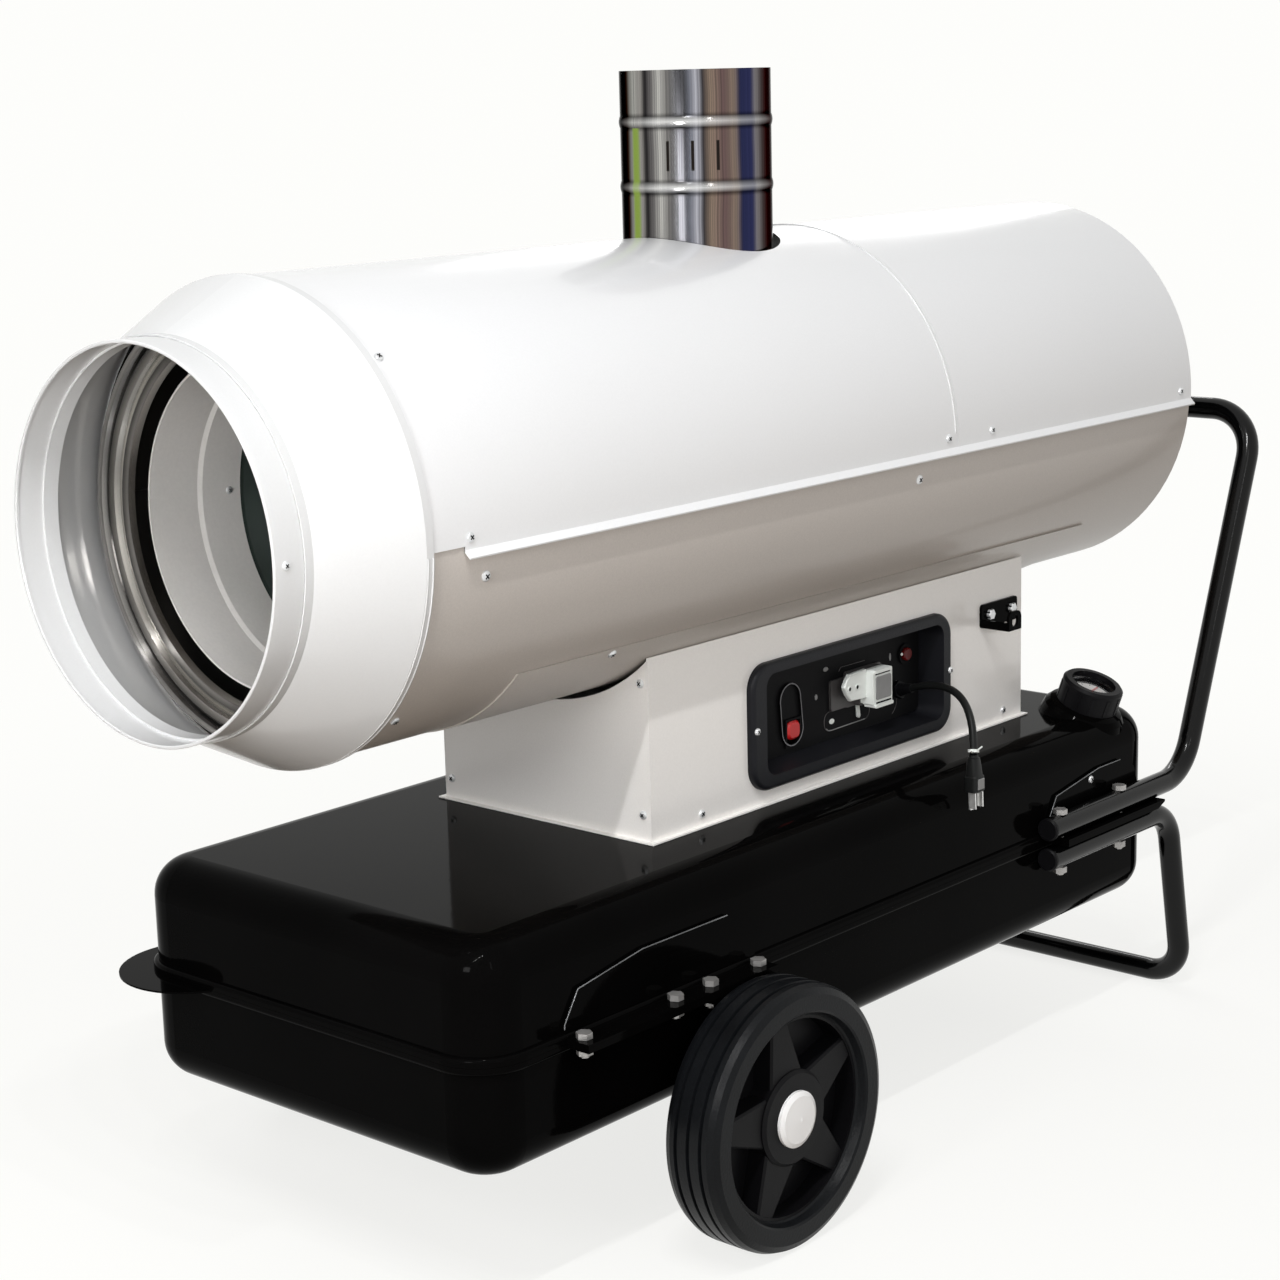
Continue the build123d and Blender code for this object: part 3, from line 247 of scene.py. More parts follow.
def flue_metal():
    """Polished tube with painted reflections as upright bands round it, painted highlights on its beads,
    painted shade lines beside the beads, and painted shade in its slots and bore.
    """
    m, tree, shader, place = start("flue_metal", 1.0, 0.0, 0.5)
    shader.inputs["Specular Tint"].default_value = (0.3, 0.3, 0.3, 1)
    away = dot(tree, place, (-0.765, -0.644, 0))
    across = dot(tree, place, (0.644, -0.765, 0))
    turn = maths(tree, "ARCTAN2", across, away)
    around = spread(tree, turn, 0, 1, -math.pi, math.pi)
    wobble = maths(tree, "MULTIPLY", maths(tree, "SUBTRACT", noise(tree, place, 9, 2), 0.5), 0.012)
    around = maths(tree, "ADD", around, wobble)
    # Colour bands by the angle round the pipe: painted reflections.
    reflection_streaks = colours(tree, around, [
        (0.0, (0.30, 0.28, 0.27)), (0.06, (0.08, 0.07, 0.07)), (0.12, (0.50, 0.49, 0.48)),
        (0.19, (0.16, 0.14, 0.13)), (0.255, (0.012, 0.010, 0.011)), (0.30, (0.015, 0.012, 0.012)),
        (0.325, (0.075, 0.055, 0.045)), (0.346, (0.50, 0.50, 0.47)), (0.372, (0.42, 0.40, 0.38)),
        (0.386, (0.015, 0.014, 0.016)), (0.404, (0.20, 0.19, 0.19)), (0.424, (0.68, 0.67, 0.64)),
        (0.442, (0.24, 0.23, 0.225)), (0.456, (0.20, 0.20, 0.21)), (0.462, (0.055, 0.055, 0.06)),
        (0.478, (0.055, 0.055, 0.06)), (0.490, (0.24, 0.25, 0.30)),
        (0.502, (0.66, 0.66, 0.74)), (0.516, (0.05, 0.045, 0.05)), (0.531, (0.36, 0.27, 0.21)),
        (0.560, (0.19, 0.12, 0.12)), (0.584, (0.33, 0.25, 0.20)), (0.600, (0.03, 0.035, 0.10)),
        (0.630, (0.04, 0.045, 0.13)), (0.645, (0.28, 0.26, 0.27)), (0.666, (0.10, 0.08, 0.08)),
        (0.70, (0.09, 0.035, 0.035)), (0.75, (0.05, 0.02, 0.025)), (0.82, (0.24, 0.22, 0.21)),
        (0.88, (0.55, 0.54, 0.53)), (0.94, (0.10, 0.09, 0.09)), (1.0, (0.30, 0.28, 0.27)),
    ])
    lines = tree.nodes.new("ShaderNodeCombineXYZ")
    tree.links.new(around, lines.inputs[0])
    fine = noise(tree, lines.outputs[0], 260, 2)
    thin = colours(tree, fine, [(0.35, (0.45, 0.45, 0.46)), (0.65, (0.86, 0.86, 0.85))])
    reflection_streaks = mixed(tree, 1.0, reflection_streaks, thin, "MULTIPLY")
    height = dot(tree, place, (0, 0, 1))
    level = spread(tree, height, 0, 1, *FLUE_HEIGHTS)
    # Bead heights times the side towards the light: a painted highlight on the beads.
    beads = greys(tree, level, [
        (0.24, 0), (0.255, 0), (0.285, 0.75), (0.325, 0), (0.63, 0), (0.645, 0), (0.68, 0.75), (0.715, 0),
    ])
    lit = greys(tree, around, [
        (0.0, 0.3), (0.25, 0.12), (0.36, 0.30), (0.42, 0.85), (0.47, 1.0), (0.53, 0.80), (0.60, 0.40),
        (0.75, 0.12), (1.0, 0.3),
    ])
    # Darker lines just below and above each bead: painted shade.
    bead_shade_lines = greys(tree, level, [
        (0.228, 1.0), (0.250, 0.35), (0.2844, 1.0), (0.318, 0.35), (0.342, 1.0),
        (0.622, 1.0), (0.644, 0.35), (0.678, 1.0), (0.712, 0.35), (0.736, 1.0),
    ])
    reflection_streaks = mixed(tree, 1.0, reflection_streaks, bead_shade_lines, "MULTIPLY")
    # A green band low on one side of the flue: a painted reflection.
    low = maths(tree, "LESS_THAN", height, GREEN_REFLECTION_TOP)
    strip = greys(tree, around, [(0.340, 0), (0.348, 1), (0.362, 1), (0.370, 0)])
    green_reflection = maths(tree, "MULTIPLY", low, channel(tree, strip))
    reflection_streaks = mixed(tree, green_reflection, reflection_streaks, (0.24, 0.34, 0.07))
    # Painted highlight on the beads, mixed towards white.
    pale = maths(tree, "MULTIPLY", channel(tree, beads), channel(tree, lit))
    reflection_streaks = mixed(tree, pale, reflection_streaks, (0.92, 0.92, 0.92))
    # Slot floors and the bore painted near black: painted shade.
    flat = vector_maths(tree, "MULTIPLY_ADD", place, (1, 1, 0), (-FLUE_X, 0, 0))
    dark = maths(tree, "LESS_THAN", vector_maths(tree, "LENGTH", flat), DARK_WITHIN)
    reflection_streaks = mixed(tree, dark, reflection_streaks, (0.02, 0.016, 0.014))
    tree.links.new(reflection_streaks, shader.inputs["Base Color"])
    tree.links.new(spread(tree, fine, 0.10, 0.20), shader.inputs["Roughness"])
    relief(tree, shader, fine, 0.04)
    return m


def ring_metal():
    """Polished ring, with painted highlights on its beads and painted shade in the valleys between them."""
    m, tree, shader, place = start("ring_metal", 1.0, 0.0, 0.5)
    # Light and dark bands by distance from the axis: painted highlights on the beads, painted shade in the
    # valleys.
    bead_light_and_shade = colours(tree, spread(tree, off_axis(tree, place), 0, 1, 0.155, 0.210), [
        (0.05, (0.05, 0.05, 0.05)), (0.16, (0.42, 0.41, 0.40)), (0.26, (0.07, 0.07, 0.065)),
        (0.38, (0.52, 0.51, 0.49)), (0.50, (0.17, 0.165, 0.16)), (0.57, (0.03, 0.03, 0.03)),
        (0.68, (0.46, 0.455, 0.45)), (0.80, (0.16, 0.15, 0.14)), (0.95, (0.04, 0.04, 0.04)),
    ])
    patches = colours(tree, noise(tree, place, 5, 2), [(0.35, (0.5, 0.48, 0.46)), (0.62, (1.25, 1.22, 1.18))])
    tree.links.new(mixed(tree, 1.0, bead_light_and_shade, patches, "MULTIPLY"), shader.inputs["Base Color"])
    tree.links.new(spread(tree, noise(tree, place, 30, 3), 0.08, 0.2), shader.inputs["Roughness"])
    relief(tree, shader, noise(tree, place, 300, 3), 0.03)
    return m


def glass():
    m, tree, shader, place = start("gauge_glass", 0.0, 0.0, 0.5)
    shader.inputs["Transmission Weight"].default_value = 1.0
    shader.inputs["IOR"].default_value = 1.25
    tint = colours(tree, noise(tree, place, 40, 2), [(0.3, (0.93, 0.93, 0.93)), (0.7, (1, 1, 1))])
    tree.links.new(tint, shader.inputs["Base Color"])
    tree.links.new(spread(tree, noise(tree, place, 120, 2), 0.03, 0.09), shader.inputs["Roughness"])
    return m


# Near black for the casing sheets' inner sides: painted shade inside the casing.
INNER_SHADE = (0.035, 0.033, 0.03)
UPPER_PAINT = dict(rough=0.24, coat=0.35, vary=0.008, scale=3, bump=0.02, grain=500, speck=0.012)
LOWER_PAINT = dict(rough=0.34, coat=0.15, vary=0.02, scale=2.5, bump=0.03, grain=600, speck=0.05)
WHITE = material("white_paint", (0.86, 0.865, 0.875), inside=(0.2102, INNER_SHADE), **UPPER_PAINT)
CONE = material("cone_paint", (0.73, 0.735, 0.74), **UPPER_PAINT)
# The lower shell and the saddle take a darker, warmer copy of the white paint: painted shade.
SHADE = material("shade_paint", (0.59, 0.545, 0.505), inside=(0.2085, INNER_SHADE), **LOWER_PAINT)
SADDLE_SHADE = material("saddle_shade_paint", (0.60, 0.56, 0.52), **LOWER_PAINT)
DUCT = material("duct_paint", (0.72, 0.70, 0.675), rough=0.22, coat=0.4, vary=0.05, scale=6, bump=0.03,
                grain=300, speck=0.03)
CREAM = material("base_paint", (0.92, 0.895, 0.865), rough=0.30, coat=0.3, vary=0.012, scale=4, bump=0.03,
                 grain=600, speck=0.025)
BLACK = material("black_gloss", (0.0017, 0.0016, 0.0016), rough=0.07, specular=0.014, vary=0.25, bump=0.03,
                 grain=250, rough_vary=0.03)
TUBE = material("tube_gloss", (0.0015, 0.0015, 0.0016), rough=0.14, specular=0.22, vary=0.2, bump=0.02,
                grain=300, rough_vary=0.03)
PLASTIC = material("black_plastic", (0.0042, 0.0041, 0.0048), rough=0.42, specular=0.10, vary=0.2, bump=0.15,
                   grain=1100, speck=0.2)
BEZEL = material("bezel_plastic", (0.0085, 0.0088, 0.0110), rough=0.42, specular=0.16, vary=0.12, bump=0.25,
                 grain=1300, speck=0.2)
FACE = material("face_plastic", (0.0045, 0.0045, 0.005), rough=0.5, specular=0.06, vary=0.15, bump=0.08,
                grain=900)
RUBBER = material("rubber", (0.006, 0.0065, 0.0065), rough=0.42, specular=0.2, vary=0.2, bump=0.1, grain=600)
TYRE = material("tyre", (0.0050, 0.0056, 0.0066), rough=0.34, specular=0.12, vary=0.3, scale=20, bump=0.2,
                grain=420, speck=0.2)
ZINC = material("zinc", (0.74, 0.75, 0.76), rough=0.32, metal=0.55, vary=0.18, scale=90, bump=0.05)
BOLT = material("bolt_zinc", (0.42, 0.41, 0.40), rough=0.38, metal=0.6, vary=0.2, scale=60, bump=0.06)
STEEL = material("steel", (0.45, 0.45, 0.45), rough=0.25, metal=1.0, vary=0.1, scale=30, bump=0.03)
DRUM = material("drum", (0.009, 0.015, 0.0125), rough=0.4, vary=0.5, scale=14, bump=0.1, specular=0.12)
RED = material("red_plastic", (0.52, 0.010, 0.012), rough=0.28, vary=0.06, bump=0.02)
# The reset button's red, darkened as painted shade for the shade it sits in.
SHADED_RED = material("red_plastic_painted_shade", (0.10, 0.004, 0.004), rough=0.3, vary=0.1, bump=0.02, specular=0.3)
WHITE_PLASTIC = material("white_plastic", (0.78, 0.81, 0.78), rough=0.35, vary=0.03, scale=60, bump=0.03)
GREY_PLASTIC = material("grey_plastic", (0.060, 0.056, 0.056), rough=0.45, vary=0.1, scale=60, bump=0.08)
PALE_GREY = material("pale_grey_plastic", (0.22, 0.22, 0.22), rough=0.4, vary=0.08, scale=60, bump=0.05)
CAP_WHITE = material("cap_white", (1.0, 1.0, 1.0), rough=0.35, vary=0.01, bump=0.01)
CAST = material("cast_metal", (0.35, 0.36, 0.37), rough=0.45, metal=0.8, vary=0.1, bump=0.15)
BRIGHT = material("bright_pins", (0.85, 0.85, 0.84), rough=0.22, metal=0.7, vary=0.05)
COPPER = material("copper", (0.55, 0.28, 0.16), rough=0.3, metal=1.0, vary=0.1)
RIM_HIGHLIGHT = material("rim_highlight_paint", (0.17, 0.17, 0.18), rough=0.5, vary=0.1, scale=200, bump=0.02)
# Light grey for lines along the bracket edges: painted highlights.
HIGHLIGHT_LINE = material("painted_edge_highlight", (0.16, 0.165, 0.17), rough=0.3, metal=0.4, vary=0.3, scale=40, bump=0.02)
DIAL = material("dial", (0.74, 0.72, 0.71), rough=0.5, vary=0.06, scale=60, bump=0.02)
GLASS = glass()
FLUE = flue_metal()
RING = ring_metal()

LOOKS = {
    "white_paint": WHITE, "shade_paint": SHADE, "duct_white": DUCT, "stainless": STEEL,
    "drum_steel": DRUM, "black_gloss": BLACK, "zinc": ZINC, "black_plastic": PLASTIC,
    "grey_plastic": GREY_PLASTIC, "white_plastic": WHITE_PLASTIC, "red_plastic": RED,
    "rubber_black": RUBBER, "tyre_black": TYRE, "lens_clear": GLASS, "motor_grey": CAST,
    "pin_metal": BRIGHT, "copper_line": COPPER,
}
OWN_LOOKS = {
    "flue_pipe": FLUE, "outlet_ring": RING, "outlet_cone": CONE, "outlet_collar": CONE,
    "saddle_sheet": SADDLE_SHADE, "control_bezel": BEZEL, "control_face": FACE, "switch_frame": FACE,
    "reset_button": SHADED_RED, "handle_tube": TUBE, "foot_tube": TUBE, "left_hub_cap": CAP_WHITE,
    "right_hub_cap": CAP_WHITE, "frame_bolts": BOLT, "plug_face": PALE_GREY,
    "thermostat_socket": GREY_PLASTIC,
}
for part in frame["record"]["subparts"]:
    ob = nodes[part["node"]]
    ob.data.materials.clear()
    look = OWN_LOOKS.get(part["node"], LOOKS[part["material_slot"]])
    if part["node"].startswith("base_"):
        look = CREAM
    ob.data.materials.append(look)

# Mesh pieces

SHARP_ANGLE = math.radians(35)


def squared(value, power):
    """A cosine or sine pushed out towards the corners of a square by a power below 1; 1 keeps it round."""
    return math.copysign(abs(value) ** power, value)


class Mesh:
    """Faces gathered from simple turned and extruded forms, each with its material."""

    def __init__(self, *looks):
        self.bm = bmesh.new()
        self.looks = looks

    def turned(self, profile, place, way, look=0, steps=20):
        """A profile of (radius, height) turned about way, standing at place."""
        turn = Vector(way).to_track_quat("Z", "Y").to_matrix()
        rows = []
        for radius, height in profile:
            if radius == 0:
                rows.append([self.bm.verts.new(Vector(place) + turn @ Vector((0, 0, height)))])
                continue
            row = []
            for step in range(steps):
                a = 2 * math.pi * step / steps
                at = Vector((radius * math.cos(a), radius * math.sin(a), height))
                row.append(self.bm.verts.new(Vector(place) + turn @ at))
            rows.append(row)
        for low, high in zip(rows, rows[1:]):
            for step in range(steps):
                after = (step + 1) % steps
                corners = [low[step % len(low)], low[after % len(low)],
                           high[after % len(high)], high[step % len(high)]]
                corners = [c for i, c in enumerate(corners) if c not in corners[:i]]
                if len(corners) > 2:
                    self.bm.faces.new(corners).material_index = look

    def skin(self, rows, look=0):
        """Sides between closed rows of one count, and both ends."""
        count = len(rows[0])
        for low, high in zip(rows, rows[1:]):
            for i in range(count):
                j = (i + 1) % count
                self.bm.faces.new([low[i], low[j], high[j], high[i]]).material_index = look
        self.bm.faces.new(rows[0][::-1]).material_index = look
        self.bm.faces.new(rows[-1]).material_index = look

    def prism(self, outline, place, right, up, out, depth, look=0, shrink=0.0):
        """An outline of (right, up) points pushed out by depth, its front face drawn in by shrink."""
        right, up, out, place = (Vector(v) for v in (right, up, out, place))
        mid = Vector((sum(p[0] for p in outline), sum(p[1] for p in outline))) / len(outline)

        def ring(level, inset):
            row = []
            for x, y in outline:
                away = Vector((x, y)) - mid
                way = away * (1 - inset / away.length)
                at = place + right * (mid.x + way.x) + up * (mid.y + way.y) + out * level
                row.append(self.bm.verts.new(at))
            return row

        rows = [ring(0, 0), ring(depth - shrink, 0)]
        if shrink > 0:
            rows.append(ring(depth, shrink))
        self.skin(rows, look)

    def lofted(self, sections, start, way, steps=32):
        """Rounded sections along way, closed at both ends.

        Each section is (distance, half width, half depth, squareness).
        """
        start, way = Vector(start), Vector(way).normalized()
        across = Vector((0, 1, 0)).cross(way).normalized()
        deep = way.cross(across)
        rows = []
        for distance, wide, depth, square in sections:
            row = []
            for step in range(steps):
                a = 2 * math.pi * step / steps
                x = squared(math.cos(a), 2 / square) * wide
                y = squared(math.sin(a), 2 / square) * depth
                row.append(self.bm.verts.new(start + way * distance + across * x + deep * y))
            rows.append(row)
        self.skin(rows)

    def done(self, name, body):
        """The gathered faces as one piece that rides on a body."""
        bmesh.ops.recalc_face_normals(self.bm, faces=self.bm.faces)
        data = bpy.data.meshes.new(name)
        self.bm.to_mesh(data)
        self.bm.free()
        for look in self.looks:
            data.materials.append(look)
        for face in data.polygons:
            face.use_smooth = True
        data.set_sharp_from_angle(angle=SHARP_ANGLE)
        ob = bpy.data.objects.new(name, data)
        scene.collection.objects.link(ob)
        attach(ob, body)
        return ob


# Cord

CORD_RADIUS = 0.004
ROUTE = [
    (0.1679, -0.1404, 0.4173),
    (0.1670, -0.1473, 0.4201),
    (0.1642, -0.1656, 0.4247),
    (0.1597, -0.1870, 0.4271),
    (0.1525, -0.2076, 0.4250),
    (0.1436, -0.2254, 0.4169),
    (0.1345, -0.2386, 0.4026),
    (0.1266, -0.2466, 0.3842),
    (0.1234, -0.2486, 0.3720),
]
PLUG_AT = ROUTE[-1]
PLUG_WAY = Vector((0.02, -0.02, -1.0)).normalized()


def curve_object(name, kind, points, radius, look, closed=False):
    """A round line through or along the points."""
    line = bpy.data.curves.new(name, "CURVE")
    line.dimensions = "3D"
    line.bevel_depth = radius
    line.bevel_resolution = 5
    line.resolution_u = 16
    line.use_fill_caps = True
    spline = line.splines.new(kind)
    spline.points.add(len(points) - 1)
    for point, at in zip(spline.points, points):
        point.co = (*at, 1)
    if kind == "NURBS":
        spline.order_u = 3
        spline.use_endpoint_u = True
    spline.use_cyclic_u = closed
    line.materials.append(look)
    ob = bpy.data.objects.new(name, line)
    scene.collection.objects.link(ob)
    return ob


def power_plug():
    """Moulded plug: neck, tapered body, square end, with a pale plate let into its near face."""
    mesh = Mesh(RUBBER, PALE_GREY)
    mesh.lofted([
        (0.0005, 0.0046, 0.0046, 2.0), (0.0035, 0.0050, 0.0050, 2.0), (0.0040, 0.0062, 0.0060, 2.4),
        (0.0120, 0.0074, 0.0066, 3.0), (0.0220, 0.0080, 0.0074, 3.5), (0.0235, 0.0092, 0.0082, 4.0),
        (0.0380, 0.0094, 0.0084, 4.0), (0.0391, 0.0086, 0.0076, 4.0),
    ], PLUG_AT, PLUG_WAY)
    plate = [(-0.0052, -0.0358), (0.0052, -0.0358), (0.0052, -0.0248), (-0.0052, -0.0248)]
    near_face = Vector(PLUG_AT) + Vector((0.0006, -0.0086, 0))
    mesh.prism(plate, near_face, RIGHT, UP, OUT, 0.0012, look=1, shrink=0.0005)
    ob = mesh.done("plug_body", "heater")
    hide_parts("power_plug", "plug_face")
    return ob


def cord():
    plug = power_plug()
    ob = curve_object("cord_line", "NURBS", ROUTE, CORD_RADIUS, RUBBER)
    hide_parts("power_cord")
    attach(ob, "heater")


cord()

# Screws, lines and marks

# Radii that the screw heads stand on
UPPER_R, LOWER_R, SADDLE_R, COLLAR_R, DUCT_R = 0.2109, 0.2092, 0.2107, 0.1689, 0.1435

PANEL_Y = -0.1165  # front of the control face
BUTTON_Y = -0.1230  # front of the reset button; one mark hangs at this level beside it


def screw(mesh, place, way, radius=0.0042):
    """Domed head, sunk a little into the sheet, with two dark bars across it that paint the shade of a cross
    recess.
    """
    way = Vector(way).normalized()
    base = Vector(place) - way * 0.0004
    r = radius
    mesh.turned([(0, 0), (r, 0), (r, 0.0012), (0.86 * r, 0.0021), (0.5 * r, 0.0027), (0, 0.0029)], base, way)
    side = way.orthogonal().normalized()
    over = way.cross(side)
    # Two dark bars across the head: painted shade for the cross recess.
    for a, b in ((side, over), (over, side)):
        bar = [(-0.55 * r, -0.13 * r), (0.55 * r, -0.13 * r), (0.55 * r, 0.13 * r), (-0.55 * r, 0.13 * r)]
        mesh.prism(bar, base + way * 0.0018, a, b, way, 0.00118, look=1)


def on_round(x, radius, degrees):
    """A point and its outward way on a drum round the heater's axis, at degrees above the control side."""
    a = math.radians(degrees)
    way = Vector((0, -math.cos(a), math.sin(a)))
    return Vector((x, 0, AXIS_Z)) + way * radius, way


def casing_screws():
    """Screws of the casing, saddle and collar, and one inside the duct."""
    mesh = Mesh(ZINC, FACE)
    for x in (-0.543, 0.134, 0.211, 0.591):
        for side in (0.8, 179.2):
            screw(mesh, *on_round(x, UPPER_R, side))
    for x in (-0.523, 0.089):
        for side in (-9, 189):
            screw(mesh, *on_round(x, LOWER_R, side), radius=0.0048)
    for side in (45, 135):
        screw(mesh, *on_round(-0.578, UPPER_R, side))
    for side in (-48, 228):
        screw(mesh, *on_round(-0.570, LOWER_R, side))
    for side in (0, 180):
        screw(mesh, *on_round(-0.704, COLLAR_R, side), radius=0.0036)
    for side in (-42.6, 222.6):
        screw(mesh, *on_round(-0.315, SADDLE_R, side), radius=0.0046)
    place, way = on_round(-0.4992, DUCT_R, 177.6)
    screw(mesh, place, -way, radius=0.0036)
    mesh.done("casing_screws", "heater")


def base_screws():
    """Screws of the base box, bezel and rear brackets, and the hook bracket's bolt heads."""
    mesh = Mesh(ZINC, FACE)
    front, side = Vector((-1, 0, 0)), Vector(OUT)
    for y, z in ((-0.128, 0.500), (-0.128, 0.373), (0.128, 0.368), (0.128, 0.500)):
        screw(mesh, (-0.247, y, z), front)
    for x, z in ((-0.174, 0.359), (0.344, 0.358)):
        screw(mesh, (x, -0.1375, z), side)
        screw(mesh, (x, 0.1375, z), -side)
    for x, z in ((-0.0974, 0.4254), (0.2302, 0.4258)):
        screw(mesh, (x, -0.146, z), side, radius=0.0036)
    for x in (0.313, 0.355):
        head = [(0, 0), (0.0061, 0), (0.0061, 0.0034), (0.0054, 0.0042), (0, 0.0042)]
        mesh.turned(head, (x, -0.1408, 0.472), side, steps=6)
    screw(mesh, (0.3727, -0.2333, 0.2877), side)
    screw(mesh, (0.3727, 0.2333, 0.2877), -side)
    mesh.done("base_screws", "heater")


def circle(radius, start=0, end=360, steps=48, centre=(0, 0)):
    """Points round a circle, or along an arc with both its ends."""
    closed = end - start == 360
    count = steps if closed else steps + 1
    turns = [math.radians(start + (end - start) * i / steps) for i in range(count)]
    return [(centre[0] + radius * math.cos(a), centre[1] + radius * math.sin(a)) for a in turns]


def seam_lines():
    """Fine raised lines where the cone and the upper panels lap."""
    def around(name, x, radius, start, end, thick):
        points = [(x, -py, AXIS_Z + pz) for py, pz in circle(radius, start, end, 90)]
        ob = curve_object(name, "POLY", points, thick, CONE)
        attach(ob, "heater")

    around("cone_bead_rear", -0.5868, 0.2124, -178, -2, 0.0009)
    around("cone_bead_front", -0.5925, 0.2124, -178, -2, 0.0009)
    around("panel_bead", 0.146, 0.2112, 2, 178, 0.0008)


def panel_legends():
    """Printed outlines and small marks on the control face, all of them plain; the switch's outline is a
    raised rim whose front face is light grey as a painted highlight.
    """
    upper = circle(0.017, 0, 180, 20, (-0.0111, 0.4370))
    lower = circle(0.0175, 180, 360, 20, (-0.0079, 0.4060))
    mid_x, mid_z = -0.0095, 0.4215
    rim_high = 0.0031
    rim = Mesh(FACE, RIM_HIGHLIGHT)
    path = upper + lower
    inner = [(x + (mid_x - x) * 0.07, z + (mid_z - z) * 0.036) for x, z in path]
    count = len(path)
    rows = []
    for loop, level in ((path, 0.0), (path, rim_high), (inner, rim_high), (inner, 0.0)):
        rows.append([rim.bm.verts.new((x, PANEL_Y - level, z)) for x, z in loop])
    for row, (low, high) in enumerate(zip(rows, rows[1:])):
        for i in range(count):
            j = (i + 1) % count
            # The rim's front face takes the light grey: a painted highlight.
            rim.bm.faces.new([low[i], low[j], high[j], high[i]]).material_index = 1 if row == 1 else 0
    rim.done("switch_outline", "heater")

    def line(name, points, radius, look, closed=False):
        ob = curve_object(name, "POLY", [(x, PANEL_Y - 0.0002, z) for x, z in points], radius, look, closed)
        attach(ob, "heater")

    r = 0.0085
    box = circle(r, 270, 360, 8, (0.1165, 0.3995)) + circle(r, 0, 90, 8, (0.1165, 0.4015))
    box += circle(r, 90, 180, 8, (0.0560, 0.4020)) + circle(r, 180, 270, 8, (0.0560, 0.3990))
    line("socket_outline", box, 0.0004, GREY_PLASTIC, closed=True)
    line("socket_outline_lower", [(0.0505, 0.3935), (0.0545, 0.3909), (0.060, 0.3903), (0.1165, 0.3910)],
         0.0006, PALE_GREY)
    line("socket_outline_upper", [(0.0728, 0.4500), (0.0763, 0.4538), (0.1176, 0.4534)], 0.0004, GREY_PLASTIC)
    line("grip_outline", circle(0.0165, 300, 420, 16, (0.1570, 0.4010)), 0.0003, GREY_PLASTIC)
    marks = Mesh(WHITE_PLASTIC, PALE_GREY)
    for x, z, wide, high, look, level in (
        (0.0508, 0.4564, 0.0040, 0.0024, 1, PANEL_Y), (0.0343, 0.4302, 0.0022, 0.0030, 1, PANEL_Y),
        (0.0603, 0.3997, 0.0042, 0.0028, 0, PANEL_Y), (0.1623, 0.4489, 0.0014, 0.0042, 1, PANEL_Y),
        (0.1731, 0.4179, 0.0010, 0.0036, 0, PANEL_Y), (0.1745, 0.4503, 0.0020, 0.0016, 0, BUTTON_Y),
    ):
        outline = [(x + px * wide, z + pz * high) for px, pz in circle(1, steps=16)]
        marks.prism(outline, (0, level, 0), RIGHT, UP, OUT, 0.0006, look=look, shrink=0.0002)
    lever = [(0.1012, 0.4102), (0.1042, 0.4102), (0.1062, 0.3965), (0.1044, 0.3948), (0.1022, 0.3965)]
    marks.prism(lever, (0, PANEL_Y, 0), RIGHT, UP, OUT, 0.0030, shrink=0.0005)
    marks.done("panel_marks", "heater")


def thermostat_connector():
    """White connector: square body with dark lines as painted shade in its grooves, pointed block with two
    round ways at its side, their floors dark as painted shade.
    """
    mesh = Mesh(WHITE_PLASTIC, FACE, PALE_GREY)

    def block(x0, x1, z0, z1, y, depth, look=0, shrink=0.0006, corner=0.0015):
        c = corner
        outline = [(x0 + c, z0), (x1 - c, z0), (x1, z0 + c), (x1, z1 - c), (x1 - c, z1), (x0 + c, z1),
                   (x0, z1 - c), (x0, z0 + c)]
        mesh.prism(outline, (0, y, 0), RIGHT, UP, OUT, depth, look=look, shrink=shrink)

    block(0.0966, 0.1334, 0.4130, 0.4450, -0.1198, 0.0080)
    block(0.0985, 0.1322, 0.4115, 0.4475, -0.1275, 0.0140)
    block(0.1000, 0.1312, 0.4090, 0.4125, -0.1290, 0.0150, corner=0.0008)
    block(0.1000, 0.1300, 0.4452, 0.4487, -0.1290, 0.0142, corner=0.0008)
    block(0.1030, 0.1290, 0.4170, 0.4415, -0.1412, 0.0014, look=2, shrink=0.0003)
    # Dark lines near the body's bottom and top: painted shade in its grooves.
    block(0.1035, 0.1300, 0.4128, 0.4146, -0.1405, 0.0012, look=1, shrink=0.0001, corner=0.0004)
    block(0.1025, 0.1280, 0.4434, 0.4448, -0.1405, 0.0012, look=1, shrink=0.0001, corner=0.0004)
    pointed = [(0.0614, 0.4365), (0.0655, 0.4440), (0.0709, 0.4488), (0.0990, 0.4498), (0.0990, 0.4195),
               (0.0728, 0.4203), (0.0660, 0.4280)]
    mesh.prism(pointed, (0, -0.1284, 0), RIGHT, UP, OUT, 0.0046, shrink=0.0010)
    for x in (0.0695, 0.0823):
        place = (x, -0.1325, 0.4340)
        mesh.turned([(0.0030, 0), (0.0030, 0.0013), (0.0021, 0.0013)], place, OUT, steps=16)
        # Dark floor of each round way: painted shade.
        mesh.turned([(0.0, 0.0009), (0.0022, 0.0009)], place, OUT, look=1, steps=16)
    ob = mesh.done("thermostat_connector", "plug")
    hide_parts("thermostat_plug")


def switch_rocker():
    """Red rocker with rounded ends."""
    mesh = Mesh(RED)
    half_wide, half_high, power = 0.0100, 0.0096, 0.65
    outline = [(squared(cx, power) * half_wide - 0.0060, squared(cz, power) * half_high + 0.4045)
               for cx, cz in circle(1, steps=32)]
    mesh.prism(outline, (0, -0.1140, 0), RIGHT, UP, OUT, 0.0066, shrink=0.0022)
    ob = mesh.done("switch_rocker", "rocker")
    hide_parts("power_switch")


